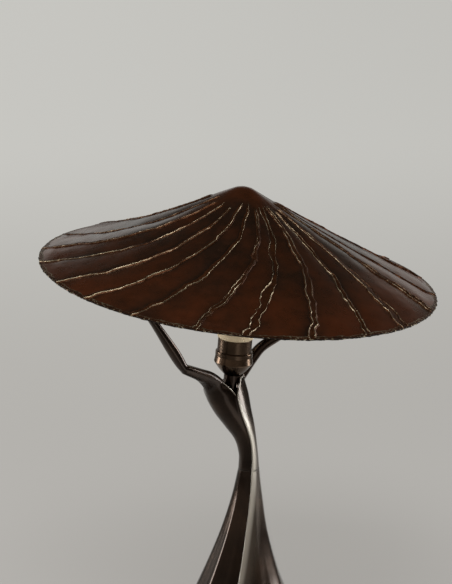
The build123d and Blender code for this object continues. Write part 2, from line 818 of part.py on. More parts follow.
# Bulb: foot contact, glass insulator, screw cap, ribbed housing, light board and frosted globe
foot_level = contact_top
insulator_level = foot_level + bulb_foot_height
cap_level = insulator_level + bulb_insulator_height
housing_level = barrel_top + mouth_clearance
globe_level = housing_level + bulb_housing_height
globe_top = globe_level + bulb_globe_height
board_radius = bulb_neck_radius - bulb_wall

with BuildPart() as bulb_foot:
    with BuildSketch(holder_frame.offset(foot_level)):
        Circle(bulb_foot_radius)
    extrude(amount=bulb_foot_height)
    fillet(bulb_foot.faces().sort_by(holder_axis)[0].edges(), bulb_foot_height / 2)
bulb_foot.part.label = "bulb_foot"
export_step(bulb_foot.part, "parts/bulb_foot.step")

with BuildPart() as bulb_insulator:
    with BuildSketch(holder_frame.offset(insulator_level)):
        Circle(bulb_foot_radius)
    with BuildSketch(holder_frame.offset(cap_level)):
        Circle(bulb_cap_radius - bulb_wall)
    loft()
bulb_insulator.part.label = "bulb_insulator"
export_step(bulb_insulator.part, "parts/bulb_insulator.step")

with BuildPart() as bulb_cap:
    with BuildSketch(holder_frame.offset(cap_level)):
        Circle(bulb_cap_radius)
    extrude(amount=housing_level - cap_level)
    with BuildSketch(holder_frame.offset(cap_level + bulb_wall)):
        Circle(bulb_cap_radius - bulb_wall)
    extrude(amount=housing_level - cap_level, mode=Mode.SUBTRACT)
    chamfer(bulb_cap.faces().sort_by(holder_axis)[0].edges(), bulb_wall / 2)
bulb_cap.part.label = "bulb_cap"
export_step(bulb_cap.part, "parts/bulb_cap.step")

with BuildPart() as bulb_housing:
    with BuildSketch(holder_section):
        with BuildLine():
            start = (bulb_cap_radius - bulb_wall, housing_level)
            edge = Line(start, (bulb_lip_radius - bulb_wall, housing_level))
            lip = Line(edge @ 1, (bulb_lip_radius, housing_level + bulb_lip_height))
            flare = SagittaArc(lip @ 1, (bulb_neck_radius, globe_level), -bulb_wall)
            rim = Line(flare @ 1, (board_radius, globe_level))
            inner_lip = (bulb_lip_radius - bulb_wall, housing_level + bulb_lip_height + bulb_wall)
            wall = Line(rim @ 1, inner_lip)
            floor = Line(wall @ 1, (start[0], housing_level + bulb_wall))
            Line(floor @ 1, start)
        make_face()
    revolve(axis=holder_axis)
bulb_housing.part.label = "bulb_housing"
export_step(bulb_housing.part, "parts/bulb_housing.step")

with BuildPart() as led_board:
    with BuildSketch(holder_frame.offset(globe_level)):
        Circle(board_radius)
    extrude(amount=led_board_thickness)
led_board.part.label = "led_board"
export_step(led_board.part, "parts/led_board.step")


def globe_face(inset):
    # half section of the globe: a short flare from the housing and a round crown
    centre = globe_top - bulb_globe_radius
    start = (bulb_neck_radius - inset, globe_level)
    side = (bulb_globe_radius - inset, centre)
    crown = (0, globe_top - inset)
    slant = radians(45)
    bend = ((bulb_globe_radius - inset) * cos(slant), centre + (bulb_globe_radius - inset) * sin(slant))
    with BuildSketch(holder_section) as section:
        with BuildLine():
            foot = Line((0, globe_level), start)
            flare = TangentArc(side, foot @ 1, tangent=(0, -1))
            dome = ThreePointArc(flare @ 0, bend, crown)
            Line(dome @ 1, foot @ 0)
        make_face()
    return section.sketch


with BuildPart() as bulb_globe:
    revolve(globe_face(0), axis=holder_axis)
    revolve(globe_face(bulb_wall), axis=holder_axis, mode=Mode.SUBTRACT)
bulb_globe.part.label = "bulb_globe"
export_step(bulb_globe.part, "parts/bulb_globe.step")

# Base closure: plate, felt, screws and ballast
with BuildPart() as base_plate:
    with BuildSketch(Plane((0, 0, felt_thickness))):
        Circle(plate_radius)
    extrude(amount=plate_thickness)
    with Locations(Plane((0, 0, felt_thickness), x_dir=(1, 0, 0), z_dir=(0, 0, -1))):
        with PolarLocations(base_screw_circle, base_screw_count, start_angle=90):
            CounterBoreHole(
                base_screw_radius + base_screw_clearance,
                base_screw_head_radius + base_screw_clearance,
                base_screw_head_height,
            )
base_plate.part.label = "base_plate"
export_step(base_plate.part, "parts/base_plate.step")

with BuildPart() as felt_pad:
    with BuildSketch():
        Circle(felt_radius)
    extrude(amount=felt_thickness)
felt_pad.part.label = "felt_pad"
export_step(felt_pad.part, "parts/felt_pad.step")

with BuildPart() as base_screws:
    with BuildSketch(Plane((0, 0, felt_thickness))):
        with PolarLocations(base_screw_circle, base_screw_count, start_angle=-90):
            Circle(base_screw_head_radius)
    extrude(amount=base_screw_head_height)
    with BuildSketch(Plane((0, 0, felt_thickness + base_screw_head_height))):
        with PolarLocations(base_screw_circle, base_screw_count, start_angle=-90):
            Circle(base_screw_radius)
    extrude(amount=plate_thickness - base_screw_head_height + ledge_height)
base_screws.part.label = "base_screws"
export_step(base_screws.part, "parts/base_screws.step")

with BuildPart() as ballast_ring:
    with BuildSketch(Plane((0, 0, plate_top))):
        Circle(ballast_radius)
        Circle(ballast_bore, mode=Mode.SUBTRACT)
    extrude(amount=ballast_height)
    chamfer(ballast_ring.faces().sort_by(Axis.Z)[-1].edges(), ledge_height / 2)
    with BuildSketch(Plane((0, 0, plate_top + cord_slot_floor))):
        with Locations((0, ballast_radius)):
            Rectangle(cord_slot_width, 2 * ballast_radius)
    extrude(amount=ballast_height, mode=Mode.SUBTRACT)
ballast_ring.part.label = "ballast_ring"
export_step(ballast_ring.part, "parts/ballast_ring.step")

# Terminal block that joins the inner lead to the mains cord
with BuildPart() as terminal_block:
    with BuildSketch(Plane((0, 0, plate_top))):
        Rectangle(block_length, block_width)
    extrude(amount=block_depth)
    with BuildSketch(Plane((0, 0, block_top))):
        with GridLocations(block_length * 0.66, block_width / 2, 2, 2):
            Circle(terminal_radius)
    extrude(amount=-terminal_height, mode=Mode.SUBTRACT)
terminal_block.part.label = "terminal_block"
export_step(terminal_block.part, "parts/terminal_block.step")

with BuildPart() as block_screws:
    with BuildSketch(Plane((0, 0, block_top - terminal_height))):
        with GridLocations(block_length * 0.66, block_width / 2, 2, 2):
            Circle(terminal_radius - slip)
    extrude(amount=terminal_height / 2)
block_screws.part.label = "block_screws"
export_step(block_screws.part, "parts/block_screws.step")

# Cord inlet bush in the boss at the back of the hem
with BuildPart() as inlet_bush:
    inlet_face = Plane((0, bush_boss_face, bush_height), x_dir=(-1, 0, 0), z_dir=(0, 1, 0))
    with BuildSketch(inlet_face):
        Circle(bush_radius)
    extrude(amount=-bush_boss_length)
    with BuildSketch(inlet_face):
        Circle(bush_flange_radius)
    extrude(amount=bush_flange_thickness)
    fillet(inlet_bush.faces().sort_by(Axis.Y)[-1].edges(), bush_flange_thickness / 3)
    with BuildSketch(inlet_face.offset(bush_flange_thickness)):
        Circle(bush_bore)
    extrude(amount=-bush_boss_length - bush_flange_thickness, mode=Mode.SUBTRACT)
inlet_bush.part.label = "inlet_bush"
export_step(inlet_bush.part, "parts/inlet_bush.step")
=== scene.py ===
import bpy
import json
from functools import partialmethod
from math import atan2, copysign, cos, exp, pi, radians, sin, tan
from mathutils import Matrix, Vector


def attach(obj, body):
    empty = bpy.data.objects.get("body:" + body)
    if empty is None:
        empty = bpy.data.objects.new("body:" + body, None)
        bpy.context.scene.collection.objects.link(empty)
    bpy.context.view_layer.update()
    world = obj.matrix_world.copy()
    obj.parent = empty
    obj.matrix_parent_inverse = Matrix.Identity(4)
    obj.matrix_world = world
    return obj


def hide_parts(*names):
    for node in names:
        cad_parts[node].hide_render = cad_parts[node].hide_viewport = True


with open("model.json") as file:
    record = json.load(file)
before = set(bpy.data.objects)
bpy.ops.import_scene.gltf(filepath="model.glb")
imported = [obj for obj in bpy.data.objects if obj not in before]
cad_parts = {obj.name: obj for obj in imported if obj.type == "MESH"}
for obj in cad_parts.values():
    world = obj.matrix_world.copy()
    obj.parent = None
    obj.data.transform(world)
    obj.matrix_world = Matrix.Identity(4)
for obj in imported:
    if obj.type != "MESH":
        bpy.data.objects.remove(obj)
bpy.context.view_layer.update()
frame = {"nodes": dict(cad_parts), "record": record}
nodes = frame["nodes"]
scene = bpy.context.scene
mm = 0.001
print("frame loaded:", len(nodes), "nodes")


# node trees: a wire carries a socket, a bench adds nodes to one tree
def pick(sockets, key):
    if isinstance(key, int):
        return sockets[key]
    found = [socket for socket in sockets if socket.identifier == key]
    return found[0] if found else next(socket for socket in sockets if socket.name == key)


class Wire:
    def __init__(self, bench, socket):
        self.bench = bench
        self.socket = socket

    def work(self, kind, *rest):
        return self.bench.add("ShaderNodeMath", {"operation": kind}, dict(enumerate((self, *rest))))

    def turned(self, kind, other):
        return self.bench.add("ShaderNodeMath", {"operation": kind}, {0: other, 1: self})

    __add__ = partialmethod(work, "ADD")
    __sub__ = partialmethod(work, "SUBTRACT")
    __mul__ = partialmethod(work, "MULTIPLY")
    __truediv__ = partialmethod(work, "DIVIDE")
    __pow__ = partialmethod(work, "POWER")
    __radd__ = partialmethod(turned, "ADD")
    __rsub__ = partialmethod(turned, "SUBTRACT")
    __rmul__ = partialmethod(turned, "MULTIPLY")
    __rtruediv__ = partialmethod(turned, "DIVIDE")
    __neg__ = partialmethod(turned, "SUBTRACT", 0.0)
    sine = partialmethod(work, "SINE")
    cosine = partialmethod(work, "COSINE")

    def kept(self, low=0.0, high=1.0):
        return self.work("MAXIMUM", low).work("MINIMUM", high)

    def ease(self, low, high):
        span = {"Value": self, "From Min": low, "From Max": high}
        return self.bench.add("ShaderNodeMapRange", {"interpolation_type": "SMOOTHSTEP"}, span)


class Bench:
    def __init__(self, tree):
        self.tree = tree

    def add(self, kind, settings=None, sockets=None, out=0):
        node = self.tree.nodes.new(kind)
        for name, value in (settings or {}).items():
            if name == "stops":
                ramp = node.color_ramp
                while len(ramp.elements) < len(value):
                    ramp.elements.new(0.5)
                for element, (place, colour) in zip(ramp.elements, value):
                    element.position = place
                    element.color = (*colour, 1.0)
            else:
                setattr(node, name, value)
        for key, value in (sockets or {}).items():
            socket = pick(node.inputs, key)
            if isinstance(value, Wire):
                self.tree.links.new(value.socket, socket)
            else:
                socket.default_value = value
        return Wire(self, pick(node.outputs, out)) if len(node.outputs) else node


def emptied(owner):
    owner.use_nodes = True
    owner.node_tree.nodes.clear()
    return Bench(owner.node_tree)


def makeFinish(name, basics, plan):
    material = bpy.data.materials.new(name)
    bench = emptied(material)
    shader = bench.add("ShaderNodeBsdfPrincipled", {}, {**basics, **plan(bench)})
    bench.add("ShaderNodeOutputMaterial", {}, {"Surface": shader})
    return material


def ownPlace(bench):
    return bench.add("ShaderNodeTexCoord", {}, {}, "Object")


def attribute(bench, name):
    return bench.add("ShaderNodeAttribute", {"attribute_name": name}, {}, "Fac")


def axis(bench, where, name):
    return bench.add("ShaderNodeSeparateXYZ", {}, {0: where}, name)


def spotAt(bench, x, y, z):
    return bench.add("ShaderNodeCombineXYZ", {}, {0: x, 1: y, 2: z})


def grain(bench, where, scale, detail, rough):
    sockets = {"Vector": where, "Scale": scale, "Detail": detail, "Roughness": rough}
    return bench.add("ShaderNodeTexNoise", {}, sockets)


def toned(bench, share, *stops):
    return bench.add("ShaderNodeValToRGB", {"stops": stops}, {"Fac": share})


def rgba(colour):
    return colour if isinstance(colour, Wire) else (*colour, 1.0)


def blend(bench, share, first, second):
    sockets = {"Factor_Float": share, "A_Color": rgba(first), "B_Color": rgba(second)}
    return bench.add("ShaderNodeMix", {"data_type": "RGBA"}, sockets, "Result_Color")


def bumped(bench, height, strength, distance):
    sockets = {"Height": height, "Strength": strength, "Distance": distance}
    return bench.add("ShaderNodeBump", {}, sockets)


def linked(name, data):
    made = bpy.data.objects.new(name, data)
    scene.collection.objects.link(made)
    return made


# the mesh as a piece's modifiers leave it; the modifiers go
def settled(piece, keepLayers=False):
    graph = bpy.context.evaluated_depsgraph_get()
    mesh = bpy.data.meshes.new_from_object(
        piece.evaluated_get(graph), preserve_all_data_layers=keepLayers, depsgraph=graph
    )
    piece.modifiers.clear()
    return mesh


# a piece grown by geometry nodes, handed over as a plain mesh
def growPiece(name, sizes, material, plan, *seat):
    tree = bpy.data.node_groups.new(name + "Plan", "GeometryNodeTree")
    bench = Bench(tree)
    tree.interface.new_socket("Geometry", in_out="OUTPUT", socket_type="NodeSocketGeometry")
    kinds = {int: "NodeSocketInt", float: "NodeSocketFloat", bpy.types.Object: "NodeSocketObject"}
    handles = {}
    for label, value in sizes.items():
        kind = kinds[type(value)]
        handles[label] = tree.interface.new_socket(label, in_out="INPUT", socket_type=kind)
    entry = tree.nodes.new("NodeGroupInput")
    inputs = {label: Wire(bench, entry.outputs[label]) for label in sizes}
    shape = plan(bench, inputs)
    shape = bench.add("GeometryNodeRealizeInstances", {}, {0: shape})
    shape = bench.add("GeometryNodeSetMaterial", {}, {"Geometry": shape, "Material": material})
    leave = tree.nodes.new("NodeGroupOutput")
    tree.links.new(shape.socket, leave.inputs[0])
    maker = linked(name + "Maker", bpy.data.meshes.new(name + "Maker"))
    modifier = maker.modifiers.new("plan", "NODES")
    modifier.node_group = tree
    for label, value in sizes.items():
        modifier[handles[label].identifier] = value
    mesh = settled(maker, keepLayers=True)
    bpy.data.objects.remove(maker)
    mesh.name = name
    place(linked(name, mesh), *seat)


def stored(bench, shape, name, value):
    kind = {"data_type": "FLOAT", "domain": "POINT"}
    sockets = {"Geometry": shape, "Name": name, "Value": value}
    return bench.add("GeometryNodeStoreNamedAttribute", kind, sockets)


def named(bench, name):
    return bench.add("GeometryNodeInputNamedAttribute", {"data_type": "FLOAT"}, {"Name": name})


def place(piece, body, slot, *replaced):
    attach(piece, body)
    if replaced:
        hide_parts(*replaced)
    print(piece.name, len(piece.data.polygons), "faces on", body)


# shade sizes, the same as the solids have, in millimetres and degrees
shade = {
    "radius": 221.25, "height": 101.0, "wall": 1.6, "tipRadius": 26.0, "tipSlope": 28.5,
    "rimHeight": 430.0, "rimSideLean": 6.4, "sideLean": 5.75, "frontLean": 2.25, "offset": -6.2,
    "seams": 21, "firstAzimuth": -170.9, "stray": 1.4, "swirl": 34.5, "swirlChange": 19.0,
    "swirlSide": -162.0, "swirlPower": 1.15, "lap": 2.8,
    "dent": 3.4, "dentSide": 158.0, "tipShift": 2.4,
    "dentFrom": (20.0, 95.0), "dentTo": (130.0, 215.0), "tipReach": 75.0,
    "fadeIn": (18.0, 90.0), "flatRim": (0.93, 0.972),
    "seamStart": 27.0, "lateStart": 8.0, "lateSide": (-0.2, 0.5), "unevenStart": 5.0,
    "wander": 8.0, "wanderScale": 0.03, "kink": 6.5, "kinkPace": 13.0,
    "fineKink": 0.4, "finePace": 5.0, "seamSeed": 11.0,
}
tipSlope = radians(shade["tipSlope"])
flankStart = Vector((
    shade["tipRadius"] * sin(tipSlope),
    shade["height"] - shade["tipRadius"] * (1 - cos(tipSlope)),
))
flankChord = atan2(flankStart.y, shade["radius"] - flankStart.x)
footSlope = 2 * flankChord - tipSlope
flankRadius = (shade["radius"] - flankStart.x) / (sin(tipSlope) - sin(footSlope))
flankCentre = flankStart + flankRadius * Vector((sin(tipSlope), cos(tipSlope)))
rimLean = radians(shade["rimSideLean"])
rimTilt = rimLean - radians(shade["sideLean"])
shadeFoot = shade["rimHeight"] - shade["offset"] * tan(rimLean)
shadeMatrix = (
    Matrix.Translation(Vector((shade["offset"], 0, shadeFoot)))
    @ Matrix.Rotation(radians(shade["frontLean"]), 4, "X")
    @ Matrix.Rotation(radians(shade["sideLean"]), 4, "Y")
)


# height of the flank, for numbers and wires
def flankWire(radius, lift):
    reach = (flankRadius - lift) ** 2.0 - (radius - flankCentre.x) ** 2.0
    return flankCentre.y - reach ** 0.5


def rimWire(azimuth):
    slope = tan(footSlope)
    return shade["radius"] * slope / (slope - tan(rimTilt) * azimuth.cosine())


def swirlWire(rimAzimuth, radius):
    side = (rimAzimuth - radians(shade["swirlSide"])).cosine()
    swirl = radians(shade["swirl"]) + radians(shade["swirlChange"]) * side
    inwards = (1.0 - radius / shade["radius"]).work("MAXIMUM", 0.0)
    return swirl * inwards ** shade["swirlPower"]


def seamStray(number):
    return (number * 2.36 - 1.06).sine() * radians(shade["stray"])


def panelTilt(number):
    return (number * 2.7 + 0.4).sine() * shade["lap"]


# a hollow in the flank, towards the left hand
def handDent(azimuth, radius):
    toSide = (azimuth - radians(shade["dentSide"])).cosine().work("MAXIMUM", 0.0)
    inside = 1.0 - radius.ease(*shade["dentTo"])
    return radius.ease(*shade["dentFrom"]) * inside * toSide * shade["dent"]


# from millimetres in a piece's own frame to its place in the scene
def seated(bench, shape, matrix):
    shape = bench.add("GeometryNodeTransform", {}, {
        "Geometry": shape,
        "Translation": tuple(matrix.translation * mm),
        "Rotation": tuple(matrix.to_euler("XYZ")),
        "Scale": (mm, mm, mm),
    })
    return bench.add("GeometryNodeSetShadeSmooth", {}, {"Geometry": shape})


def seatShade(bench, shape, x, y, z):
    nearTip = 1.0 - ((x * x + y * y) ** 0.5).ease(0.0, shade["tipReach"])
    spot = spotAt(bench, x + nearTip * shade["tipShift"], y, z)
    shape = bench.add("GeometryNodeSetPosition", {}, {"Geometry": shape, "Position": spot})
    return seated(bench, shape, shadeMatrix)


# a ring or a line, with the places along it stored
def run(bench, name, closed, count, end):
    if closed:
        curve = bench.add("GeometryNodeCurvePrimitiveCircle", {}, {"Resolution": count})
    else:
        curve = {"Start": (0, 0, 0), "End": end}
        curve = bench.add("GeometryNodeCurvePrimitiveLine", {}, curve)
        curve = bench.add("GeometryNodeResampleCurve", {}, {"Curve": curve, "Count": count})
    return stored(bench, curve, name, bench.add("GeometryNodeSplineParameter"))


def swept(bench, path, loop, filled):
    sockets = {"Curve": path, "Profile Curve": loop, "Fill Caps": filled}
    return bench.add("GeometryNodeCurveToMesh", {}, sockets)


def sweptStrip(bench, pathClosed, pathCount, loopClosed, loopCount):
    path = run(bench, "along", pathClosed, pathCount, (1, 0, 0))
    loop = run(bench, "round", loopClosed, loopCount, (0, 1, 0))
    return swept(bench, path, loop, loopClosed)


def spotNoise(bench, x, y, z, scale, detail=2.0):
    sockets = {"Vector": spotAt(bench, x, y, z), "Scale": scale, "Detail": detail}
    return bench.add("ShaderNodeTexNoise", {}, sockets) - 0.5


# the panels' relief ends before the rim band
def offRim(azimuth, radius):
    return 1.0 - (radius / rimWire(azimuth)).ease(*shade["flatRim"])


# a line of straight steps between random stations, -0.5 to 0.5
def kinks(bench, distance, pace, seed):
    station = distance / pace + seed
    low = station.work("FLOOR")
    line = {"noise_dimensions": "1D"}
    start, end = (
        bench.add("ShaderNodeTexWhiteNoise", line, {"W": low + shift}, "Value")
        for shift in (0.0, 1.0)
    )
    return start + (end - start) * station.work("FRACT") - 0.5


def seamSeed(seam):
    return seam * 7.3 + shade["seamSeed"]


def seamAzimuth(seam):
    turn = seam * (2 * pi / shade["seams"])
    return turn + radians(shade["firstAzimuth"]) + seamStray(seam)


# the seams on the right half begin further down
def seamStart(seam):
    toRight = seamAzimuth(seam).cosine().ease(*shade["lateSide"])
    start = shade["seamStart"] + toRight * shade["lateStart"]
    return start + (seam * 1.9).sine() * shade["unevenStart"]


def seamGrowth(seam, radius):
    ownStart = seamStart(seam)
    along = (radius - ownStart) / (shade["radius"] - ownStart)
    return 0.25 + along.kept() * 0.75


def seamWander(bench, seam, radius):
    seed = seamSeed(seam)
    wander = spotNoise(bench, radius, seed, 0.5, shade["wanderScale"]) * shade["wander"]
    kink = kinks(bench, radius, shade["kinkPace"], seed * 3.1) * shade["kink"]
    fine = kinks(bench, radius, shade["finePace"], seed * 5.7) * shade["kink"]
    wander = wander + kink + fine * shade["fineKink"]
    return wander * seamGrowth(seam, radius) / radius


def shadePatina(bench):
    where = ownPlace(bench)
    broad = grain(bench, where, 16.0, 5.0, 0.6)
    streak = grain(bench, where, 55.0, 4.0, 0.65)
    pits = grain(bench, where, 420.0, 2.0, 0.5)
    panel, down = attribute(bench, "panel"), attribute(bench, "down")
    tone = (1.0 - down.ease(0.02, 0.22)) * 0.22 + down.ease(0.35, 0.95) * 0.24
    # the skin is darker close to the seams: patina in the joints and painted shade beside the
    # raised lips
    glow = broad * 0.95 + streak * 0.35 - 0.22 + tone - panel * 0.34
    colour = toned(
        bench, glow, (0.16, (0.01, 0.006, 0.0032)), (0.4, (0.028, 0.0105, 0.0036)),
        (0.58, (0.058, 0.0165, 0.0042)), (0.82, (0.11, 0.026, 0.0055)),
    )
    speck = pits.ease(0.7, 0.8) * 0.35
    hammer = grain(bench, where, 75.0, 2.0, 0.5) * 0.8 + pits * 0.12 + streak * 0.3
    return {
        "Base Color": blend(bench, speck, colour, (0.14, 0.1, 0.055)),
        "Roughness": 0.2 + streak * 0.18,
        "Metallic": 0.45 + broad * 0.3,
        "Normal": bumped(bench, hammer, 0.16, 0.0016),
    }


def seamPatina(bench):
    where = ownPlace(bench)
    wear, edge = attribute(bench, "wear"), attribute(bench, "edge")
    chips = grain(bench, where, 210.0, 4.0, 0.7)
    drift = grain(bench, where, 38.0, 3.0, 0.6)
    # the pale gold on the lips is worn metal, laid on brighter than wear alone as a painted
    # highlight along the lips
    bright = (wear * (chips * 1.2 + drift * 1.6 - 0.55)).ease(0.08, 0.65)
    dull = toned(
        bench, drift * 0.5 + chips * 0.5, (0.32, (0.022, 0.008, 0.0026)),
        (0.5, (0.05, 0.016, 0.0042)), (0.7, (0.09, 0.029, 0.007)),
    )
    gold = toned(
        bench, chips * 0.6 + drift * 0.4, (0.32, (0.11, 0.085, 0.052)),
        (0.5, (0.25, 0.2, 0.125)), (0.68, (0.5, 0.44, 0.32)),
    )
    dull = blend(bench, edge, dull, (0.014, 0.008, 0.005))
    return {
        "Base Color": blend(bench, bright, dull, gold),
        "Roughness": 0.42 - bright * 0.06 + edge * 0.2,
        "Metallic": 0.72 + bright * 0.15,
        "Normal": bumped(bench, chips, 0.4, 0.0009),
    }


shadeFinish = makeFinish(
    "shadeRedBronze", {"Coat Weight": 0.22, "Coat Roughness": 0.12}, shadePatina
)
seamFinish = makeFinish("seamWornBronze", {"Specular IOR Level": 0.25}, seamPatina)

skinSizes = {
    "Around": 700, "Rows": 134, "Crown": 0.7, "Ripple": 0.9, "Ripple Scale": 0.022,
    "Sink": 0.25, "Wall": shade["wall"], "Seed": 4.0,
}


def skinPlan(bench, size):
    shape = sweptStrip(bench, True, size["Around"], False, size["Rows"])
    # the sheet runs from the tip down the outside and back up the inside
    azimuth = named(bench, "along") * (2 * pi)
    fold = named(bench, "round") * 2.0
    inside = fold.work("GREATER_THAN", 1.0001)
    down = fold + inside * (2.0 - 2.0 * fold)
    radius = (1.0 - (1.0 - down) ** 1.5) * rimWire(azimuth)
    # which panel this is, and how far across it
    rimGuess = azimuth
    for _ in range(3):
        rimGuess = azimuth - swirlWire(rimGuess, radius)
    seams = float(shade["seams"])
    step = 2 * pi / seams
    even = (rimGuess - radians(shade["firstAzimuth"])) / step
    count = even
    for _ in range(3):
        count = even - seamStray(count) / step
    count = count + seams
    outer = radius.work("MAXIMUM", shade["seamStart"] * 0.5)

    def ownShift(seam):
        return seamWander(bench, (seam + seams).work("MODULO", seams), outer) / step

    nearest = (count + 0.5).work("FLOOR")
    number = nearest - (count - nearest - ownShift(nearest)).work("LESS_THAN", 0.0)
    low, high = ownShift(number), ownShift(number + 1.0)
    share = ((count - number - low) / (high - low + 1.0)).kept()
    number = (number + seams).work("MODULO", seams)
    crown = (share * pi).sine()
    fade = radius.ease(*shade["fadeIn"])
    x = radius * azimuth.cosine()
    y = radius * azimuth.sine()
    ripple = spotNoise(bench, x, y, size["Seed"], size["Ripple Scale"])
    lift = crown * size["Crown"] + (share - 0.5) * panelTilt(number)
    lift = lift + ripple * size["Ripple"] * 2.0 - size["Sink"]
    lift = lift * fade * offRim(azimuth, radius) * (1.0 - inside) - handDent(azimuth, radius)
    lift = lift - inside * size["Wall"] * (1.0 - down.ease(0.8, 1.0) * 0.5)
    tipReach = (shade["tipRadius"] + lift) ** 2.0 - radius ** 2.0
    tipHeight = tipReach.work("MAXIMUM", 0.0) ** 0.5
    tipHeight = shade["height"] - shade["tipRadius"] + tipHeight
    onFlank = radius.work("GREATER_THAN", flankStart.x)
    flank = flankWire(radius.work("MAXIMUM", flankStart.x), lift)
    z = tipHeight + onFlank * (flank - tipHeight)
    # darker close to each seam: patina in the joints and painted shade beside the raised lips
    nearSeam = (share * 2.0 - 1.0).work("ABSOLUTE") ** 5.0 * fade
    shape = stored(bench, shape, "panel", nearSeam)
    shape = stored(bench, shape, "down", radius / shade["radius"])
    shape = seatShade(bench, shape, x, y, z)
    return bench.add("GeometryNodeMergeByDistance", {}, {"Geometry": shape, "Distance": 0.00002})


growPiece("shadeSkin", skinSizes, shadeFinish, skinPlan, "shade", "bronze_shade", "shade_shell")

seamSizes = {
    "Seams": shade["seams"], "Rows": 222, "Short": 1.2,
    "Narrow": 1.7, "Broad": 4.1, "Least": 0.25, "Uneven": 0.4,
    "Height": 0.95, "Lip": 0.85, "Slope": 1.5, "Base": 0.2, "Rough": 0.35, "Sunk": 0.6,
    "Spread": 8.0, "Tear": 5.2, "Fray": 2.6, "Patches": 3.0,
}
# steps between the kinks of a lip, and the scales of its noises
paces = {
    "tear": 11.0, "fray": 4.0, "lip": 6.0, "spread": 0.022, "patch": 0.04, "rough": 0.35,
}
# places across half a seam: its middle, the torn lip, the foot of the lip
lipPlaces = (0.0, 0.18, 0.36, 0.4, 0.44, 0.48, 0.52, 0.56, 0.68, 0.84, 1.0)
stripEnd, lipEnd = 0.36, 0.56


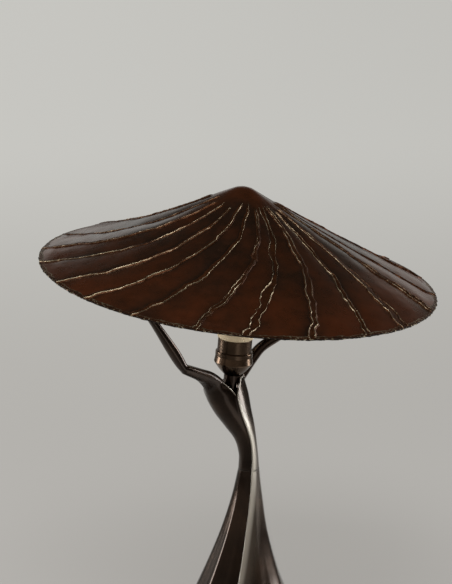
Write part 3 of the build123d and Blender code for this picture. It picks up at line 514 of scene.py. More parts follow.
def seamPlan(bench, size):
    around = 2 * len(lipPlaces) - 1
    strip = sweptStrip(bench, False, size["Rows"], True, around)
    spots = bench.add("GeometryNodePoints", {}, {"Count": size["Seams"]})
    spots = stored(bench, spots, "seam", bench.add("GeometryNodeInputIndex"))
    shape = bench.add("GeometryNodeInstanceOnPoints", {}, {"Points": spots, "Instance": strip})
    shape = bench.add("GeometryNodeRealizeInstances", {}, {0: shape})
    seam, along = named(bench, "seam"), named(bench, "along")
    side = named(bench, "round") * (2.0 * around / (around - 1)) - 1.0
    onRight = side.work("GREATER_THAN", 0.0)
    sign = onRight * 2.0 - 1.0
    curve = bench.add("ShaderNodeFloatCurve", {}, {"Value": side.work("ABSOLUTE")})
    mapping = curve.socket.node.mapping
    places = mapping.curves[0].points
    last = len(lipPlaces) - 1
    for i, value in enumerate(lipPlaces):
        if 0 < i < last:
            point = places.new(i / last, value)
        else:
            point = places[0 if i == 0 else len(places) - 1]
        point.location = (i / last, value)
        point.handle_type = "VECTOR"
    mapping.update()
    strip = (curve / stripEnd).work("MINIMUM", 1.0)
    lip = ((curve - stripEnd) / (lipEnd - stripEnd)).kept()
    foot = ((curve - lipEnd) / (1.0 - lipEnd)).work("MAXIMUM", 0.0)
    rimAzimuth = seamAzimuth(seam)
    ownStart = seamStart(seam)
    radius = ownStart + (rimWire(rimAzimuth) - size["Short"] - ownStart) * along
    seed = seamSeed(seam)
    swirl = swirlWire(rimAzimuth, radius)
    azimuth = rimAzimuth + swirl + seamWander(bench, seam, radius)
    lean = (radius * (swirlWire(rimAzimuth, radius + 1.0) - swirl)).work("ARCTANGENT")
    # one lip on the left half of the shade, two with a strip between them on the right half
    toRight, toBack = rimAzimuth.cosine(), rimAzimuth.sine()
    double = toRight.ease(-0.45, 0.0)
    leading = onRight + double - onRight * double * 2.0
    ragged = 1.0 - toRight.ease(0.15, 0.55) * 0.62
    # farRight, farLeft and dull make the pale lips dimmer on the right and at the back: painted
    # shade on the sides that face away from the light
    farRight = toBack.ease(-0.3, 0.15) * toRight.ease(-0.2, 0.3)
    farLeft = toBack.ease(-0.35, 0.15) * (0.65 - toRight.ease(-0.6, -0.1) * 0.25)
    dull = (1.0 - toRight.ease(0.5, 0.95) * 0.5) * (1.0 - farRight * 0.6) * (1.0 - farLeft)
    slim = 1.0 - toBack.ease(-0.35, 0.05) * toRight.ease(-0.2, 0.4) * 0.55
    half = size["Narrow"] + (size["Broad"] - size["Narrow"]) * double
    half = half * (1.0 + (seam * 4.1 + 0.6).sine() * size["Uneven"])
    swell = spotNoise(bench, radius, seed, onRight * 5.0 + 20.0, paces["spread"])
    tear = kinks(bench, radius, paces["tear"], seed * 2.3 + onRight * 40.0)
    fray = kinks(bench, radius, paces["fray"], seed * 4.9 + onRight * 70.0)
    torn = (swell * size["Spread"] + tear * size["Tear"]) * (0.25 + double * 0.75) * ragged
    frayed = fray * size["Fray"] * (0.4 + double * 0.6) * ragged
    half = (half + torn + frayed) * seamGrowth(seam, radius)
    half = (half * slim).work("MAXIMUM", size["Least"])
    patch = spotNoise(bench, radius, seed + onRight * 31.0, 12.0, paces["patch"], 3.0)
    trailing = 1.0 - leading
    strength = leading + trailing * (double * 0.75 + 0.05) + patch * size["Patches"]
    strength = (strength - trailing * 0.15).kept(0.0, 1.3)
    uneven = kinks(bench, radius, paces["lip"], seed + onRight * 17.0)
    lipWidth = size["Lip"] * (0.5 + strength * 0.5) * (1.0 + uneven * 0.9)
    across = sign * (half * strip + (lipWidth * lip + size["Slope"] * foot) * slim)
    # the strip lies level with the higher of the two panels and each lip on its own panel
    before = (seam - 1.0 + size["Seams"]).work("MODULO", size["Seams"])
    leftPanel, rightPanel = panelTilt(before) * 0.5, panelTilt(seam) * -0.5
    own = leftPanel + (rightPanel - leftPanel) * onRight
    seat = own + (leftPanel.work("MAXIMUM", rightPanel) - own) * (1.0 - strip)
    seat = seat * radius.ease(*shade["fadeIn"]) * offRim(rimAzimuth, radius)
    seat = seat - handDent(azimuth, radius)
    rough = spotNoise(bench, radius, seed + side * 3.0, side * 2.0, paces["rough"], 3.0)
    crest = lip.ease(0.0, 0.45) * (1.0 - lip.ease(0.55, 1.0) * 0.7) * (1.0 - foot) ** 2.0
    crest = crest * size["Height"] * strength * (1.0 + rough * 0.9)
    grown = along.ease(0.0, 0.05)
    lift = seat + (size["Base"] + rough * size["Rough"] + crest) * grown
    lift = lift - foot.ease(0.4, 1.0) * size["Sunk"] - (1.0 - grown) * size["Sunk"]
    way = azimuth + lean
    x = radius * azimuth.cosine() - across * way.sine()
    y = radius * azimuth.sine() + across * way.cosine()
    z = flankWire((x * x + y * y) ** 0.5, lift)
    # lip brightness: worn edges with a painted highlight, dimmed by dull on the sides that face
    # away from the light
    wear = lip.ease(0.05, 0.35) * (1.0 - lip.ease(0.75, 1.0)) * strength.ease(0.1, 1.0) * dull
    wear = wear * (0.7 + along.ease(0.0, 0.25) * 0.3)
    return seatShade(bench, stored(bench, shape, "wear", wear), x, y, z)


growPiece(
    "shadeSeamRibbons", seamSizes, seamFinish, seamPlan, "shade", "bronze_seam", "shade_seams"
)

bandSizes = {
    "Around": 1500, "Section": 16, "Width": 4.6, "Outset": 0.3, "Height": 0.3,
    "Tear": 9.0, "Nick": 4.2, "Under": 0.15, "Lip Wear": 0.62, "Speck Wear": 1.4, "Seed": 3.0,
}


def bandPlan(bench, size):
    shape = sweptStrip(bench, True, size["Around"], True, size["Section"])
    azimuth = named(bench, "along") * (2 * pi)
    turn = named(bench, "round") * (2 * pi)
    side, top = turn.cosine(), turn.sine()
    rim = rimWire(azimuth)
    ahead, aside = azimuth.cosine(), azimuth.sine()
    spotX, spotY = ahead * rim, aside * rim
    tear = spotNoise(bench, spotX, spotY, size["Seed"], 0.05, 4.0) * size["Tear"]
    nick = spotNoise(bench, spotX, spotY, 8.0, 0.14, 4.0) * size["Nick"]
    rough = spotNoise(bench, spotX, spotY, side * 6.0, 0.3, 3.0)
    # pale specks on the band: painted glints where nicks catch the light
    glintSpecks = spotNoise(bench, spotX, spotY, side * 9.0 + 30.0, 0.3).ease(0.08, 0.16)
    inner = side.work("GREATER_THAN", 0.0)
    reach = size["Width"] * 0.5
    radius = rim - reach * cos(footSlope) + size["Outset"] - side * reach
    radius = radius - inner * side * tear - (1.0 - inner) * side * nick
    above = top.work("MAXIMUM", 0.0) ** 0.6
    below = (-top).work("MAXIMUM", 0.0) ** 0.5
    lift = above * size["Height"] * (0.75 + rough * 2.0)
    lift = lift - below * (shade["wall"] * 0.5 + size["Under"] * (1.0 + rough * 2.0))
    # the band's inner lip: worn edge with a painted highlight
    lip = side.ease(0.55, 0.85) * (1.0 - side.ease(0.94, 1.0))
    wear = lip * size["Lip Wear"] + glintSpecks * size["Speck Wear"]
    shape = stored(bench, shape, "wear", wear)
    shape = stored(bench, shape, "edge", (-side).ease(0.1, 0.75))
    return seatShade(bench, shape, radius * ahead, radius * aside, flankWire(radius, lift))


growPiece("shadeRimBand", bandSizes, seamFinish, bandPlan, "shade", "bronze_seam", "shade_rim_band")
print("shade done")


# figure: rings of the robe as height, drift, half breadth, half depth, turn of the free edge
robe = {
    "facing": -53.0, "fold": 1.0, "roll": 3.2, "rollReach": 0.125, "cove": 1.6, "coveReach": 0.05,
    "wall": 2.2, "wallGrowth": 3.0, "shoulder": 316.6,
    "neckDepth": 22.3, "neckLap": 1.6, "neckLeft": 18.0, "neckRight": 16.0,
    "leftBow": 0.8, "rightBow": 0.62, "rightDrop": 4.0, "rightDropReach": 12.0,
    "collarFloor": 287.0, "collarSlope": 32.0, "collarSlopeAzimuth": 148.0, "collarMiddle": -6.7,
    "torso": [
        (205.0, 11.5, 11.6, 11.0, -20.0), (222.0, 11.0, 10.8, 10.0, -14.0),
        (240.0, 7.6, 12.6, 10.8, -8.0), (256.0, 1.0, 17.4, 14.2, -5.0),
        (273.0, -6.7, 22.3, 17.4, -4.0), (291.0, -12.8, 25.8, 19.0, -2.0),
        (306.0, -17.0, 26.0, 19.2, 3.0), (316.6, -14.8, 21.0, 14.4, 0.0),
    ],
    "skirt": [
        (1.0, 0.0, 78.5, 77.5, -53.0), (16.0, 0.0, 71.0, 70.0, -50.5),
        (42.0, 1.0, 59.0, 57.8, -46.0), (85.0, 3.0, 42.0, 40.8, -39.0),
        (130.0, 6.0, 27.0, 26.0, -32.0), (172.0, 9.5, 17.2, 16.6, -25.0),
        (205.0, 11.5, 11.6, 11.0, -20.0),
    ],
}
frontAngle = radians(robe["facing"])
facing = Vector((cos(frontAngle), sin(frontAngle), 0))
shoulderLine = Vector((-facing.y, facing.x, 0))


def unit(value):
    return min(1.0, max(0.0, value))


def ringAt(rings, level):
    last = len(rings) - 1
    spot = next((i for i in range(last) if level <= rings[i + 1][0]), last - 1)
    low, high = rings[spot], rings[spot + 1]
    span = high[0] - low[0]
    share = (level - low[0]) / span
    before, after = rings[max(spot - 1, 0)], rings[min(spot + 2, last)]
    values = []
    for i in range(1, 5):
        startSlope = (high[i] - before[i]) / (high[0] - before[0]) * span
        endSlope = (after[i] - low[i]) / (after[0] - low[0]) * span
        a = 2 * low[i] - 2 * high[i] + startSlope + endSlope
        b = 3 * high[i] - 3 * low[i] - 2 * startSlope - endSlope
        values.append(((a * share + b) * share + startSlope) * share + low[i])
    return values


def ringPoint(rings, level, share, lap):
    drift, breadth, depth, edge = ringAt(rings, level)
    turn = radians(edge) + 2 * pi * share
    return (
        Vector((drift, 0, level))
        + facing * ((depth + lap) * cos(turn))
        + shoulderLine * ((breadth + lap) * sin(turn))
    )


# the robe wraps once round: its free edge rolls outwards and its start lies in a cove
def robePoint(rings, level, share, grow=0.0):
    roll = robe["roll"] * max(0.0, 1 - share / robe["rollReach"]) ** 1.5
    cove = robe["cove"] * exp((share - 1) / robe["coveReach"])
    return ringPoint(rings, level, share, robe["fold"] * (1 - share) + roll + cove + grow)


def collarTop(spot):
    # the collar lies lower over the far shoulder
    turn = radians(robe["collarSlopeAzimuth"])
    spot = spot - Vector((robe["collarMiddle"], 0, 0))
    back = max(0.0, spot.dot(Vector((cos(turn), sin(turn), 0))))
    return robe["shoulder"] - back * tan(radians(robe["collarSlope"]))


def neckLevel(share):
    level = robe["shoulder"]
    origin = Vector((robe["torso"][-2][1], 0, 0))
    lap, left, right = (robe[key] for key in ("neckLap", "neckLeft", "neckRight"))
    for _ in range(14):
        spot = robePoint(robe["torso"], level, share) - origin
        across = spot.dot(shoulderLine)
        wanted = collarTop(spot + origin)
        drop = robe["rightDrop"] * unit(across / robe["rightDropReach"])
        wanted = min(wanted, robe["shoulder"] - drop)
        if spot.dot(facing) > 0 and -left < across < right:
            if across < lap:
                rise = ((lap - across) / (lap + left)) ** robe["leftBow"]
            else:
                rise = ((across - lap) / (right - lap)) ** robe["rightBow"]
            wanted = min(wanted, robe["shoulder"] - robe["neckDepth"] * (1 - rise))
        level += (wanted - level) * 0.5
    return level


class Shape:
    def __init__(self):
        self.points, self.faces = [], []

    def grid(self, rows):
        start = len(self.points)
        width = len(rows[0])
        for row in rows:
            self.points.extend(row)
        for i in range(len(rows) - 1):
            for j in range(width):
                a = start + i * width + j
                b = start + i * width + (j + 1) % width
                self.faces.append((a, b, b + width, a + width))
        return start

    def cap(self, first, count, flip):
        ring = range(first, first + count)
        self.points.append(sum((self.points[i] for i in ring), Vector()) / count)
        hub = len(self.points) - 1
        for i in range(count):
            pair = (ring[i], ring[(i + 1) % count])
            self.faces.append((*(pair[::-1] if flip else pair), hub))

    def tube(self, rows, flip):
        start, count = self.grid(rows), len(rows[0])
        self.cap(start, count, flip)
        self.cap(start + (len(rows) - 1) * count, count, not flip)

    def piece(self, name):
        mesh = bpy.data.meshes.new(name)
        mesh.from_pydata([p * mm for p in self.points], [], self.faces)
        mesh.update()
        return linked(name, mesh)


def torsoShape():
    shape = Shape()
    around, up, down = 150, 90, 24
    rings = robe["torso"]
    foot, floor = rings[0][0], robe["collarFloor"]
    tops = [neckLevel(j / around) for j in range(around)]
    rows = [
        [robePoint(rings, foot + (top - foot) * (i / up), j / around) for j, top in enumerate(tops)]
        for i in range(up + 1)
    ]
    # over the neckline and down the inside of the collar
    for i in range(down + 1):
        v = i / down
        thin = robe["wall"] + robe["wallGrowth"] * v * v
        rows.append([
            ringPoint(rings, top + (floor - top) * v, j / around, -thin)
            for j, top in enumerate(tops)
        ])
    shape.tube(rows, True)
    return shape


# arms: point on the limb, half width, half thickness
arms = {
    "handRadius": 147.5, "leftHand": 218.0, "rightHand": 32.0, "seat": 13.0, "collar": 3.3,
    "palmDepth": 9.0, "wrist": 3.5, "leftBow": 2.2, "rightBow": 0.5,
    "sharpness": {"leftUpper": 0.82, "rightUpper": 0.8, "leftArmpit": 1.0, "forearm": 1.25},
    "leftUpper": [
        ((-20.0, -6.0, 294.0), 9.0, 7.0), ((-24.0, -13.2, 305.5), 9.4, 7.6),
        ((-32.5, -24.5, 317.0), 8.4, 6.8), ((-43.5, -35.5, 325.5), 6.8, 5.8),
        ((-59.5, -50.0, 336.0), 5.8, 5.0),
    ],
    "leftArmpit": [
        ((-27.0, -8.0, 288.0), 5.0, 5.0), ((-31.2, -13.6, 299.0), 6.2, 6.0),
        ((-35.8, -20.6, 309.0), 5.6, 5.4), ((-46.0, -33.0, 322.0), 3.0, 3.0),
    ],
    "rightUpper": [
        ((-11.0, 4.0, 295.0), 9.6, 7.8), ((-6.5, 10.0, 302.5), 9.6, 7.8),
        ((4.0, 20.0, 313.5), 8.2, 6.6), ((15.0, 26.0, 326.5), 6.8, 5.6),
        ((26.0, 32.0, 338.0), 6.0, 5.0), ((42.0, 40.0, 346.5), 5.6, 4.6),
        ((55.0, 47.0, 352.5), 5.4, 4.5),
    ],
}
seatLevel = flankWire(arms["handRadius"], -shade["wall"]) - arms["seat"]


def palmPoint(azimuth, depth):
    angle, radius = radians(azimuth), arms["handRadius"]
    level = seatLevel - arms["collar"] - depth
    return shadeMatrix @ Vector((radius * cos(angle), radius * sin(angle), level))


# a smooth run through the stations, point, width and thickness alike
def smoothed(stations, steps):
    chain = [(Vector(p), w, t) for p, w, t in stations]
    last = len(chain) - 1
    made = []
    for i in range(last):
        near = (chain[max(i - 1, 0)], chain[i], chain[i + 1], chain[min(i + 2, last)])
        for k in range(steps):
            s = k / steps
            weights = (
                (-s ** 3 + 2 * s ** 2 - s) / 2, (3 * s ** 3 - 5 * s ** 2 + 2) / 2,
                (-3 * s ** 3 + 4 * s ** 2 + s) / 2, (s ** 3 - s ** 2) / 2,
            )
            made.append(tuple(
                sum((w * q[n] for w, q in zip(weights, near)), Vector() if n == 0 else 0.0)
                for n in range(3)
            ))
    made.append(chain[-1])
    return made


def turns(count):
    return [2 * pi * j / count for j in range(count)]


def limbShape(shape, stations, sharpness, around=40, steps=9):
    def sharp(value):
        return copysign(abs(value) ** sharpness, value)

    chain = smoothed(stations, steps)
    rows = []
    for i, (point, width, thick) in enumerate(chain):
        ahead, behind = chain[min(i + 1, len(chain) - 1)][0], chain[max(i - 1, 0)][0]
        direction = (ahead - behind).normalized()
        across = Vector((0, 1, 0)).cross(direction).normalized()
        through = direction.cross(across)
        rows.append([
            point + across * (width * sharp(cos(turn))) + through * (thick * sharp(sin(turn)))
            for turn in turns(around)
        ])
    shape.tube(rows, True)


def forearmStations(side):
    elbow, width, thick = arms[side + "Upper"][-1]
    azimuth, aside = arms[side + "Hand"], Vector((arms[side + "Bow"], 0, 0))
    start = Vector(elbow)
    palm = palmPoint(azimuth, arms["palmDepth"])
    reach = palm - start
    wrist = arms["wrist"]
    along = reach.normalized()
    return [
        (start - along * 5.2, width * 0.22, thick * 0.3),
        (start - along * 3.4, width * 0.74, thick * 0.78),
        (start + reach * 0.05, width * 1.02, thick * 0.98),
        (start + reach * 0.22 + aside * 0.5, width * 1.12, thick),
        (start + reach * 0.55 + aside, (width + wrist) / 2, (thick + wrist) / 2),
        (start + reach * 0.86 + aside * 0.3, wrist, wrist),
        (palm, 5.4, 5.4),
        (palmPoint(azimuth, 4.0), 6.2, 6.2),
        (palmPoint(azimuth, 0.0), 6.5, 6.5),
    ]


def smoothing(piece, rounds, group=""):
    soft = piece.modifiers.new("soften", "SMOOTH")
    soft.factor = 0.5
    soft.iterations = rounds
    soft.vertex_group = group


def fuse(name, shape, voxel, rounds):
    raw = shape.piece(name + "Raw")
    remesh = raw.modifiers.new("fuse", "REMESH")
    remesh.mode = "VOXEL"
    remesh.voxel_size = voxel * mm
    remesh.use_smooth_shade = True
    smoothing(raw, rounds)
    mesh = settled(raw)
    mesh.name = name
    bpy.data.objects.remove(raw)
    return linked(name, mesh)


# the left upper arm is more satin than the rest, in metres
satinSizes = {"middle": (-0.037, -0.03, 0.322), "reach": (0.01, 0.032), "rough": 0.3}


def bodyPatina(bench):
    where = ownPlace(bench)
    cloud = grain(bench, where, 34.0, 4.0, 0.6)
    fine = grain(bench, where, 480.0, 3.0, 0.6)
    rub = attribute(bench, "rub")
    ends = {0: where, 1: satinSizes["middle"]}
    away = bench.add("ShaderNodeVectorMath", {"operation": "DISTANCE"}, ends, "Value")
    satin = (1.0 - away.ease(*satinSizes["reach"])) * satinSizes["rough"]
    dark = toned(
        bench, cloud, (0.3, (0.024, 0.0145, 0.0095)), (0.52, (0.039, 0.0235, 0.015)),
        (0.74, (0.064, 0.0375, 0.0225)),
    )
    rough = 0.13 + cloud * 0.08 + fine * 0.04 + rub.ease(0.0, 0.5) * 0.28 + satin
    return {
        # the pale colour where the robe is rubbed is partly worn metal and partly a painted
        # highlight on the crest and hems
        "Base Color": blend(bench, rub.ease(0.0, 0.9), dark, (0.62, 0.58, 0.51)),
        "Roughness": rough,
        "Normal": bumped(bench, cloud * 0.6 + fine * 0.25, 0.05, 0.0008),
    }


bodyFinish = makeFinish(
    "bodyDarkBronze", {"Metallic": 0.85, "Coat Weight": 0.38, "Coat Roughness": 0.1}, bodyPatina
)

figureSizes = {"voxel": 0.7, "rounds": 4}
sides = ("left", "right")
figure = torsoShape()
for limb in ("leftUpper", "rightUpper", "leftArmpit"):
    limbShape(figure, arms[limb], arms["sharpness"][limb])
for side in sides:
    limbShape(figure, forearmStations(side), arms["sharpness"]["forearm"])
figureSkin = fuse("figureSkin", figure, figureSizes["voxel"], figureSizes["rounds"])


# flesh runs over from the shoulders into the robe: more rounds of smoothing near these spots
def soften(piece, spots, reach, rounds):
    group = piece.vertex_groups.new(name="soft")
    for vertex in piece.data.vertices:
        near = min((vertex.co / mm - Vector(spot)).length for spot in spots)
        if near < reach:
            group.add([vertex.index], (1.0 - (near / reach) ** 2) ** 0.8, "REPLACE")
    smoothing(piece, rounds, group.name)
    mesh = settled(piece)
    piece.vertex_groups.clear()
    mesh.name = piece.name
    piece.data = mesh


softSpots = [
    # spots, reach, rounds
    ([(-37.0, -17.0, 302.0), (-30.0, -23.0, 301.0), (-38.0, -22.0, 309.0)], 16.0, 320),
    ([arms[side + "Upper"][-1][0] for side in sides], 10.0, 30),
]
for spots, reach, rounds in softSpots:
    soften(figureSkin, spots, reach, rounds)

# bright wear along the crest of the robe's free edge, with a faint tail beside it: partly real
# rubbed wear, partly a painted highlight where the light catches the fold
rubAndSheenSizes = {
    "above": 313.0, "torsoTop": 292.0, "skirtTop": 230.0,
    # least, growth, height where the growth starts, its run, reach
    "tail": (0.13, 0.13, 290.0, 35.0, 22.0),
    # least, growth, its run
    "width": (1.6, 5.0, 30.0),
}


def markRobeRubAndSheen(piece, rings, top, *replaced):
    layer = piece.data.attributes.new("rub", "FLOAT", "POINT")
    faint, growth, start, tailRun, reach = rubAndSheenSizes["tail"]
    narrow, widening, widthRun = rubAndSheenSizes["width"]
    for vertex in piece.data.vertices:
        spot = vertex.co / mm
        if spot.z >= rubAndSheenSizes["above"]:
            continue
        drift, breadth, depth, edge = ringAt(rings, spot.z)
        away = spot - Vector((drift, 0, spot.z))
        turn = atan2(away.dot(shoulderLine) / breadth, away.dot(facing) / depth)
        along = ((turn - radians(edge)) % (2 * pi)) * breadth
        tail = faint + growth * unit((start - spot.z) / tailRun)
        value = tail * max(0.0, 1 - (along / reach) ** 2)
        if spot.z < top:
            width = narrow + widening * unit((top - spot.z) / widthRun)
            value += (1.0 - tail) * max(0.0, 1 - along / width)
        layer.data[vertex.index].value = value
    piece.data.materials.append(bodyFinish)
    place(piece, "stand", "bronze_body", *replaced)


castings = ("torso_casting", "left_forearm", "right_forearm")
markRobeRubAndSheen(figureSkin, robe["torso"], rubAndSheenSizes["torsoTop"], *castings)

skirt = {
    "wall": 4.5, "hollow": 175.0,
    "folds": 9, "foldDepth": 3.0, "foldTop": 195.0, "foldRun": 170.0, "foldSway": 0.9,
    "foldTwist": 0.012, "foldRest": 0.45, "edgeEase": 14.0,
    # the cord inlet's boss: how far back and how wide
    "bossHeight": 19.0,
    "boss": [(58.0, 8.5), (74.2, 8.5), (74.8, 8.3), (75.0, 7.8), (75.0, 5.1), (62.0, 5.1)],
}


def skirtFold(level, share):
    angle = 2 * pi * share
    grown = unit((skirt["foldTop"] - level) / skirt["foldRun"]) ** 1.1
    sway = skirt["foldSway"] * sin(2 * angle + 1.0)
    wave = cos(skirt["folds"] * angle + sway + skirt["foldTwist"] * level)
    body = ((1 + wave) / 2) ** 1.6 - skirt["foldRest"]
    ease = skirt["edgeEase"]
    flat = min(1, ease * share + 0.1, ease * (1 - share) + 0.1)
    return skirt["foldDepth"] * grown * body * flat


def skirtShape():
    shape = Shape()
    around, up, count = 300, 130, 48
    half = up // 2
    rings = robe["skirt"]
    low, high = rings[0][0], rings[-1][0]
    shares = [j / around for j in range(around)]
    rows = []
    for i in range(up + 1):
        level = high + (low - high) * (i / up)
        rows.append([robePoint(rings, level, share, skirtFold(level, share)) for share in shares])
    for i in range(half + 1):
        level = low + (skirt["hollow"] - low) * (i / half)
        rows.append([ringPoint(rings, level, share, -skirt["wall"]) for share in shares])
    shape.tube(rows, False)
    height = skirt["bossHeight"]
    shape.grid([
        [Vector((radius * sin(t), back, height + radius * cos(t))) for t in turns(count)]
        for back, radius in skirt["boss"]
    ])
    return shape


robeSkirt = skirtShape().piece("robeSkirt")
for polygon in robeSkirt.data.polygons:
    polygon.use_smooth = True
markRobeRubAndSheen(robeSkirt, robe["skirt"], rubAndSheenSizes["skirtTop"], "skirt_casting")

# the robe's polished edge, painted pale as wear and as a painted highlight: one line down the left
# lapel, one down the right lapel and on to the hem
hem = {
    "Radius": 0.8, "Section": 8, "Inset": 0.55, "Drop": 0.15, "Left Reach": 0.155,
    "Right Reach": 0.135,
}


def hemPoint(rings, level, share):
    inner = robePoint(robe[rings], level, share, -hem["Inset"])
    return inner - Vector((0, 0, hem["Drop"]))


steps, skirtSteps = 60, 80
leftLapel = [1 - hem["Left Reach"] * (1 - i / steps) for i in range(steps)]
rightLapel = [hem["Right Reach"] * (1 - i / steps) for i in range(steps + 1)]
hems = [[hemPoint("torso", neckLevel(s), s) for s in lapel] for lapel in (leftLapel, rightLapel)]
waist, ground = robe["torso"][0][0], robe["skirt"][0][0] + 1.0
runs = [("torso", neckLevel(0.0), waist, steps), ("skirt", waist, ground, skirtSteps)]
for rings, top, low, count in runs:
    hems[1] += [hemPoint(rings, top + (low - top) * i / count, 0.0) for i in range(1, count + 1)]
hemMesh = bpy.data.meshes.new("hemPath")
spots, links = [], []
for line in hems:
    links += [(len(spots) + i, len(spots) + i + 1) for i in range(len(line) - 1)]
    spots += [point * mm for point in line]
hemMesh.from_pydata(spots, links, [])
hemPath = linked("hemPath", hemMesh)


def roundBar(bench, path, count, radius):
    loop = {"Resolution": count, "Radius": radius}
    return swept(bench, path, bench.add("GeometryNodeCurvePrimitiveCircle", {}, loop), True)


def hemPlan(bench, size):
    path = bench.add("GeometryNodeObjectInfo", {}, {"Object": size["Path"]}, "Geometry")
    path = bench.add("GeometryNodeMeshToCurve", {}, {"Mesh": path})
    shape = roundBar(bench, path, size["Section"], size["Radius"] * mm)
    # full rub on the hem bars: worn edge and painted highlight
    shape = stored(bench, shape, "rub", 1.0)
    return bench.add("GeometryNodeSetShadeSmooth", {}, {"Geometry": shape})


hemInputs = {"Radius": hem["Radius"], "Section": hem["Section"], "Path": hemPath}
growPiece("robeHems", hemInputs, bodyFinish, hemPlan, "stand", "bronze_body")
bpy.data.objects.remove(hemPath)
print("figure done")


# finishes of the fittings that stay as solids
def clouded(bench, where, scale, colour, dark):
    cloud = grain(bench, where, scale, 3.0, 0.6)
    return blend(bench, cloud.ease(0.3, 0.7), dark, colour)


def turnedMetal(colour, dark, low, spread, scale):
    def plan(bench):
        where = ownPlace(bench)
        turned = {"Vector": where, "Scale": (40.0, 40.0, scale)}
        brushed = grain(bench, bench.add("ShaderNodeMapping", {}, turned), 1.0, 4.0, 0.7)
        return {
            "Base Color": clouded(bench, where, 90.0, colour, dark),
            "Roughness": low + brushed * spread,
            "Normal": bumped(bench, brushed, 0.03, 0.0004),
        }
    return plan


def moulded(colour, dark, rough, scale):
    def plan(bench):
        where = ownPlace(bench)
        tooth = grain(bench, where, scale, 2.0, 0.5)
        return {
            "Base Color": clouded(bench, where, 60.0, colour, dark),
            "Roughness": rough + tooth * 0.12,
            "Normal": bumped(bench, tooth, 0.1, 0.0003),
        }
    return plan


metal = {"Metallic": 1.0}
glaze = {"Coat Weight": 0.6, "Coat Roughness": 0.06}
nap = {"Sheen Weight": 0.5, "Sheen Roughness": 0.5}
frost = {"Transmission Weight": 0.35, "IOR": 1.46}
# a faint painted glow on the cream bulb housing, standing in for light that falls under the shade
paintedGlow = {"Emission Color": (0.94, 0.72, 0.46, 1.0), "Emission Strength": 0.09}
# slot: name, fixed values, then the colours and the grain of its plan
turnedFinishes = {
    "bronze_holder": (
        "holderSatinBronze", metal,
        (0.15, 0.102, 0.07), (0.11, 0.074, 0.05), 0.2, 0.1, 1400.0),
    "brass_fitting": (
        "turnedBrass", metal, (0.5, 0.36, 0.15), (0.36, 0.24, 0.1), 0.22, 0.2, 1200.0),
    "steel": ("platedSteel", metal, (0.5, 0.5, 0.48), (0.36, 0.36, 0.35), 0.25, 0.2, 1000.0),
    "bulb_metal": ("nickelPlate", metal, (0.62, 0.61, 0.58), (0.5, 0.49, 0.46), 0.18, 0.15, 900.0),
}
mouldedFinishes = {
    "board_metal": ("whiteBoard", {}, (0.8, 0.8, 0.78), (0.72, 0.72, 0.7), 0.4, 900.0),
    "ballast_iron": (
        "castIron", {"Metallic": 0.7}, (0.05, 0.047, 0.044), (0.03, 0.028, 0.026), 0.55, 260.0),
    "porcelain": ("glazedPorcelain", glaze, (0.72, 0.66, 0.54), (0.62, 0.56, 0.45), 0.2, 300.0),
    "cord_sheath": ("darkSheath", {}, (0.02, 0.02, 0.02), (0.012, 0.012, 0.012), 0.5, 800.0),
    "core_sheath": ("brownSheath", {}, (0.14, 0.055, 0.022), (0.09, 0.035, 0.015), 0.45, 800.0),
    "pale_plastic": ("paleMoulding", {}, (0.7, 0.68, 0.62), (0.62, 0.6, 0.54), 0.42, 700.0),
    "black_plastic": (
        "blackMoulding", {}, (0.016, 0.016, 0.017), (0.01, 0.01, 0.01), 0.38, 900.0),
    "cream_plastic": ("creamHousing", paintedGlow, (0.94, 0.82, 0.58), (0.88, 0.74, 0.5), 0.4, 700.0),
    "felt": ("baizeFelt", nap, (0.012, 0.045, 0.026), (0.007, 0.028, 0.016), 0.85, 1600.0),
    "frosted_globe": ("frostedGlobe", frost, (0.86, 0.84, 0.79), (0.8, 0.78, 0.72), 0.42, 500.0),
}
finishes = {}
for kind, table in ((turnedMetal, turnedFinishes), (moulded, mouldedFinishes)):
    for slot, (name, basics, *values) in table.items():
        finishes[slot] = makeFinish(name, basics, kind(*values))
for entry in frame["record"]["subparts"]:
    solid = nodes[entry["node"]]
    finish = finishes.get(entry["material_slot"])
    if finish and solid.material_slots:
        solid.material_slots[0].material = finish
    elif finish:
        solid.data.materials.append(finish)
nodes["neck_sleeve"].material_slots[0].material = bodyFinish
print("fittings finished")

# ribs round the bulb's housing, in the lampholder's own frame
holderSizes = {"height": 315.5, "drift": -6.7, "lean": 4.5, "housing": 42.1}
housingMatrix = (
    Matrix.Translation(Vector((holderSizes["drift"], 0, holderSizes["height"])))
    @ Matrix.Rotation(radians(holderSizes["lean"]), 4, "Y")
    @ Matrix.Translation(Vector((0, 0, holderSizes["housing"])))
)
ribSizes = {
    "Ribs": 56, "Rib Radius": 0.55, "Section": 8, "Steps": 10, "Low": 1.2, "High": 21.0,
    "Low Radius": 19.3, "High Radius": 24.0, "Low Flare": 2.4, "High Flare": 0.4, "Handle": 6.0,
}


def ribPlan(bench, size):
    lowOut, highOut = size["Low Radius"], size["High Radius"]
    low, high = size["Low"], size["High"]
    line = bench.add("GeometryNodeCurvePrimitiveBezierSegment", {}, {
        "Start": spotAt(bench, lowOut, 0.0, low),
        "Start Handle": spotAt(bench, lowOut + size["Low Flare"], 0.0, low + size["Handle"]),
        "End Handle": spotAt(bench, highOut - size["High Flare"], 0.0, high - size["Handle"]),
        "End": spotAt(bench, highOut, 0.0, high),
        "Resolution": size["Steps"],
    })
    rib = roundBar(bench, line, size["Section"], size["Rib Radius"])
    spots = bench.add("GeometryNodePoints", {}, {"Count": size["Ribs"]})
    turn = bench.add("GeometryNodeInputIndex") * (2 * pi) / size["Ribs"]
    sockets = {"Points": spots, "Instance": rib, "Rotation": spotAt(bench, 0.0, 0.0, turn)}
    shape = bench.add("GeometryNodeInstanceOnPoints", {}, sockets)
    shape = bench.add("GeometryNodeRealizeInstances", {}, {0: shape})
    return seated(bench, shape, housingMatrix)


growPiece("bulbRibs", ribSizes, finishes["cream_plastic"], ribPlan, "bulb", "cream_plastic")


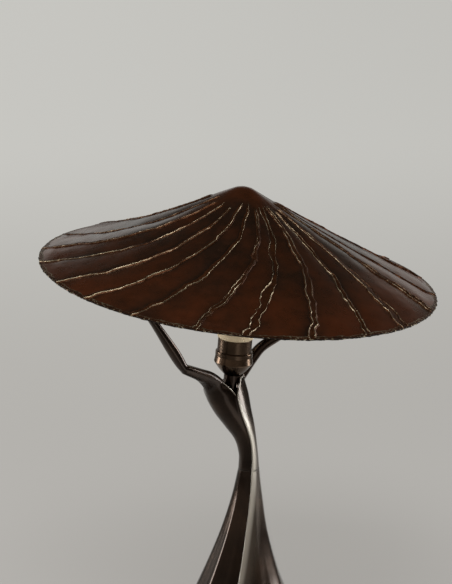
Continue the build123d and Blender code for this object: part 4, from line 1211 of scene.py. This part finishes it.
# stage: a wide floor, open from below; the camera sees it run into the backdrop
floorSizes = {
    "reach": 30.0, "front": (0.24, 0.225, 0.205), "shaded": (0.15, 0.149, 0.145),
    "near": (0.28, 0.267, 0.249), "far": (0.522, 0.517, 0.49), "glow": 1.06, "dim": 0.07,
}
floorTones = [
    # what metal sees: axis, start and end of a change, the paper's colour after it
    ("Y", -0.45, 0.15, (0.56, 0.55, 0.52)),
    ("X", 0.14, 0.26, (0.88, 0.86, 0.82)),
    ("X", 0.48, 0.62, (0.16, 0.145, 0.13)),
]
floorPaper = bpy.data.materials.new("floorPaper")
bench = emptied(floorPaper)
where = ownPlace(bench)
sheet = floorSizes["front"]
for name, start, end, colour in floorTones:
    sheet = blend(bench, axis(bench, where, name).ease(start, end), sheet, colour)
paper = bench.add("ShaderNodeBsdfDiffuse", {}, {"Color": sheet})
shaded = bench.add("ShaderNodeBsdfDiffuse", {}, {"Color": rgba(floorSizes["shaded"])})
far = axis(bench, where, "Y").ease(-0.5, 3.2)
grey = blend(bench, far, floorSizes["near"], floorSizes["far"])
strength = floorSizes["glow"] - axis(bench, where, "X").ease(-0.9, 0.9) * floorSizes["dim"]
glow = bench.add("ShaderNodeEmission", {}, {"Color": grey, "Strength": strength})
seenFloor = bench.add("ShaderNodeAddShader", {}, {0: shaded, 1: glow})
seenByCamera = bench.add("ShaderNodeLightPath", {}, {}, "Is Camera Ray")
paper = bench.add("ShaderNodeMixShader", {}, {0: seenByCamera, 1: paper, 2: seenFloor})
clear = bench.add("ShaderNodeBsdfTransparent")
under = bench.add("ShaderNodeNewGeometry", {}, {}, "Backfacing")
seen = bench.add("ShaderNodeMixShader", {}, {0: under, 1: paper, 2: clear})
bench.add("ShaderNodeOutputMaterial", {}, {"Surface": seen})
floorMesh = bpy.data.meshes.new("floor")
reach = floorSizes["reach"]
corners = [(x * reach, y * reach, 0) for x, y in ((-1, -1), (1, -1), (1, 1), (-1, 1))]
floorMesh.from_pydata(corners, [], [(0, 1, 2, 3)])
floorMesh.materials.append(floorPaper)
floor = linked("floor", floorMesh)

# room light: a grey backdrop round the horizon and a dark ceiling
room = {
    "back": (-0.05, 0.4), "top": (0.22, 0.38), "right": (0.0, 0.3), "rightDrop": 0.075,
    "ceiling": (0.1, 0.45), "lowColour": (0.3, 0.255, 0.212), "highColour": (0.05, 0.045, 0.04),
    "wallColour": (0.56, 0.555, 0.53), "seenColour": (0.53, 0.525, 0.5),
}
world = bpy.data.worlds.new("studio")
scene.world = world
bench = emptied(world)
heading = bench.add("ShaderNodeTexCoord", {}, {}, "Generated")
lookRight, lookBack, lookUp = (axis(bench, heading, name) for name in "XYZ")
top = lookUp + lookRight.ease(*room["right"]) * room["rightDrop"]
wall = lookBack.ease(*room["back"]) * (1.0 - top.ease(*room["top"]))
ceiling = lookUp.ease(*room["ceiling"])
dim = blend(bench, ceiling, room["lowColour"], room["highColour"])
walls = blend(bench, wall, dim, room["wallColour"])
seenByCamera = bench.add("ShaderNodeLightPath", {}, {}, "Is Camera Ray")
backdrop = blend(bench, seenByCamera, walls, room["seenColour"])
sky = bench.add("ShaderNodeBackground", {}, {"Color": backdrop, "Strength": 1.0})
bench.add("ShaderNodeOutputWorld", {}, {"Surface": sky})

lamps = [
    # name, place, aim, width, height, power
    ("softLeft", (-1.1, 0.22, 0.62), (0, 0, 0.4), 0.3, 0.94, 7.0),
    ("softRight", (1.0, 0.24, 0.57), (0, 0, 0.4), 0.32, 0.9, 7.4),
    ("softTop", (-0.3, -1.0, 2.3), (0, 0, 0.45), 1.4, 1.0, 34.0),
]
for name, spot, aim, width, height, power in lamps:
    data = bpy.data.lights.new(name, "AREA")
    data.shape = "RECTANGLE"
    data.size, data.size_y = width, height
    data.energy = power
    lamp = linked(name, data)
    lamp.location = spot
    lamp.rotation_euler = (Vector(aim) - Vector(spot)).to_track_quat("-Z", "Y").to_euler()
    lamp.visible_camera = False

# camera: long lens, a little above the rim
cameraSizes = {"distance": 2.5, "elevation": 14.0}
lensSizes = {"lens": 138.8, "sensor_width": 36.0, "shift_x": -0.0212, "shift_y": -0.0291}
lift = radians(cameraSizes["elevation"])
target = Vector((0, 0, shade["rimHeight"] * mm))
camera = linked("camera", bpy.data.cameras.new("camera"))
camera.location = target + cameraSizes["distance"] * Vector((0, -cos(lift), sin(lift)))
camera.rotation_euler = (target - camera.location).to_track_quat("-Z", "Y").to_euler()
for name, value in lensSizes.items():
    setattr(camera.data, name, value)
scene.camera = camera
scene.view_settings.view_transform = "Standard"
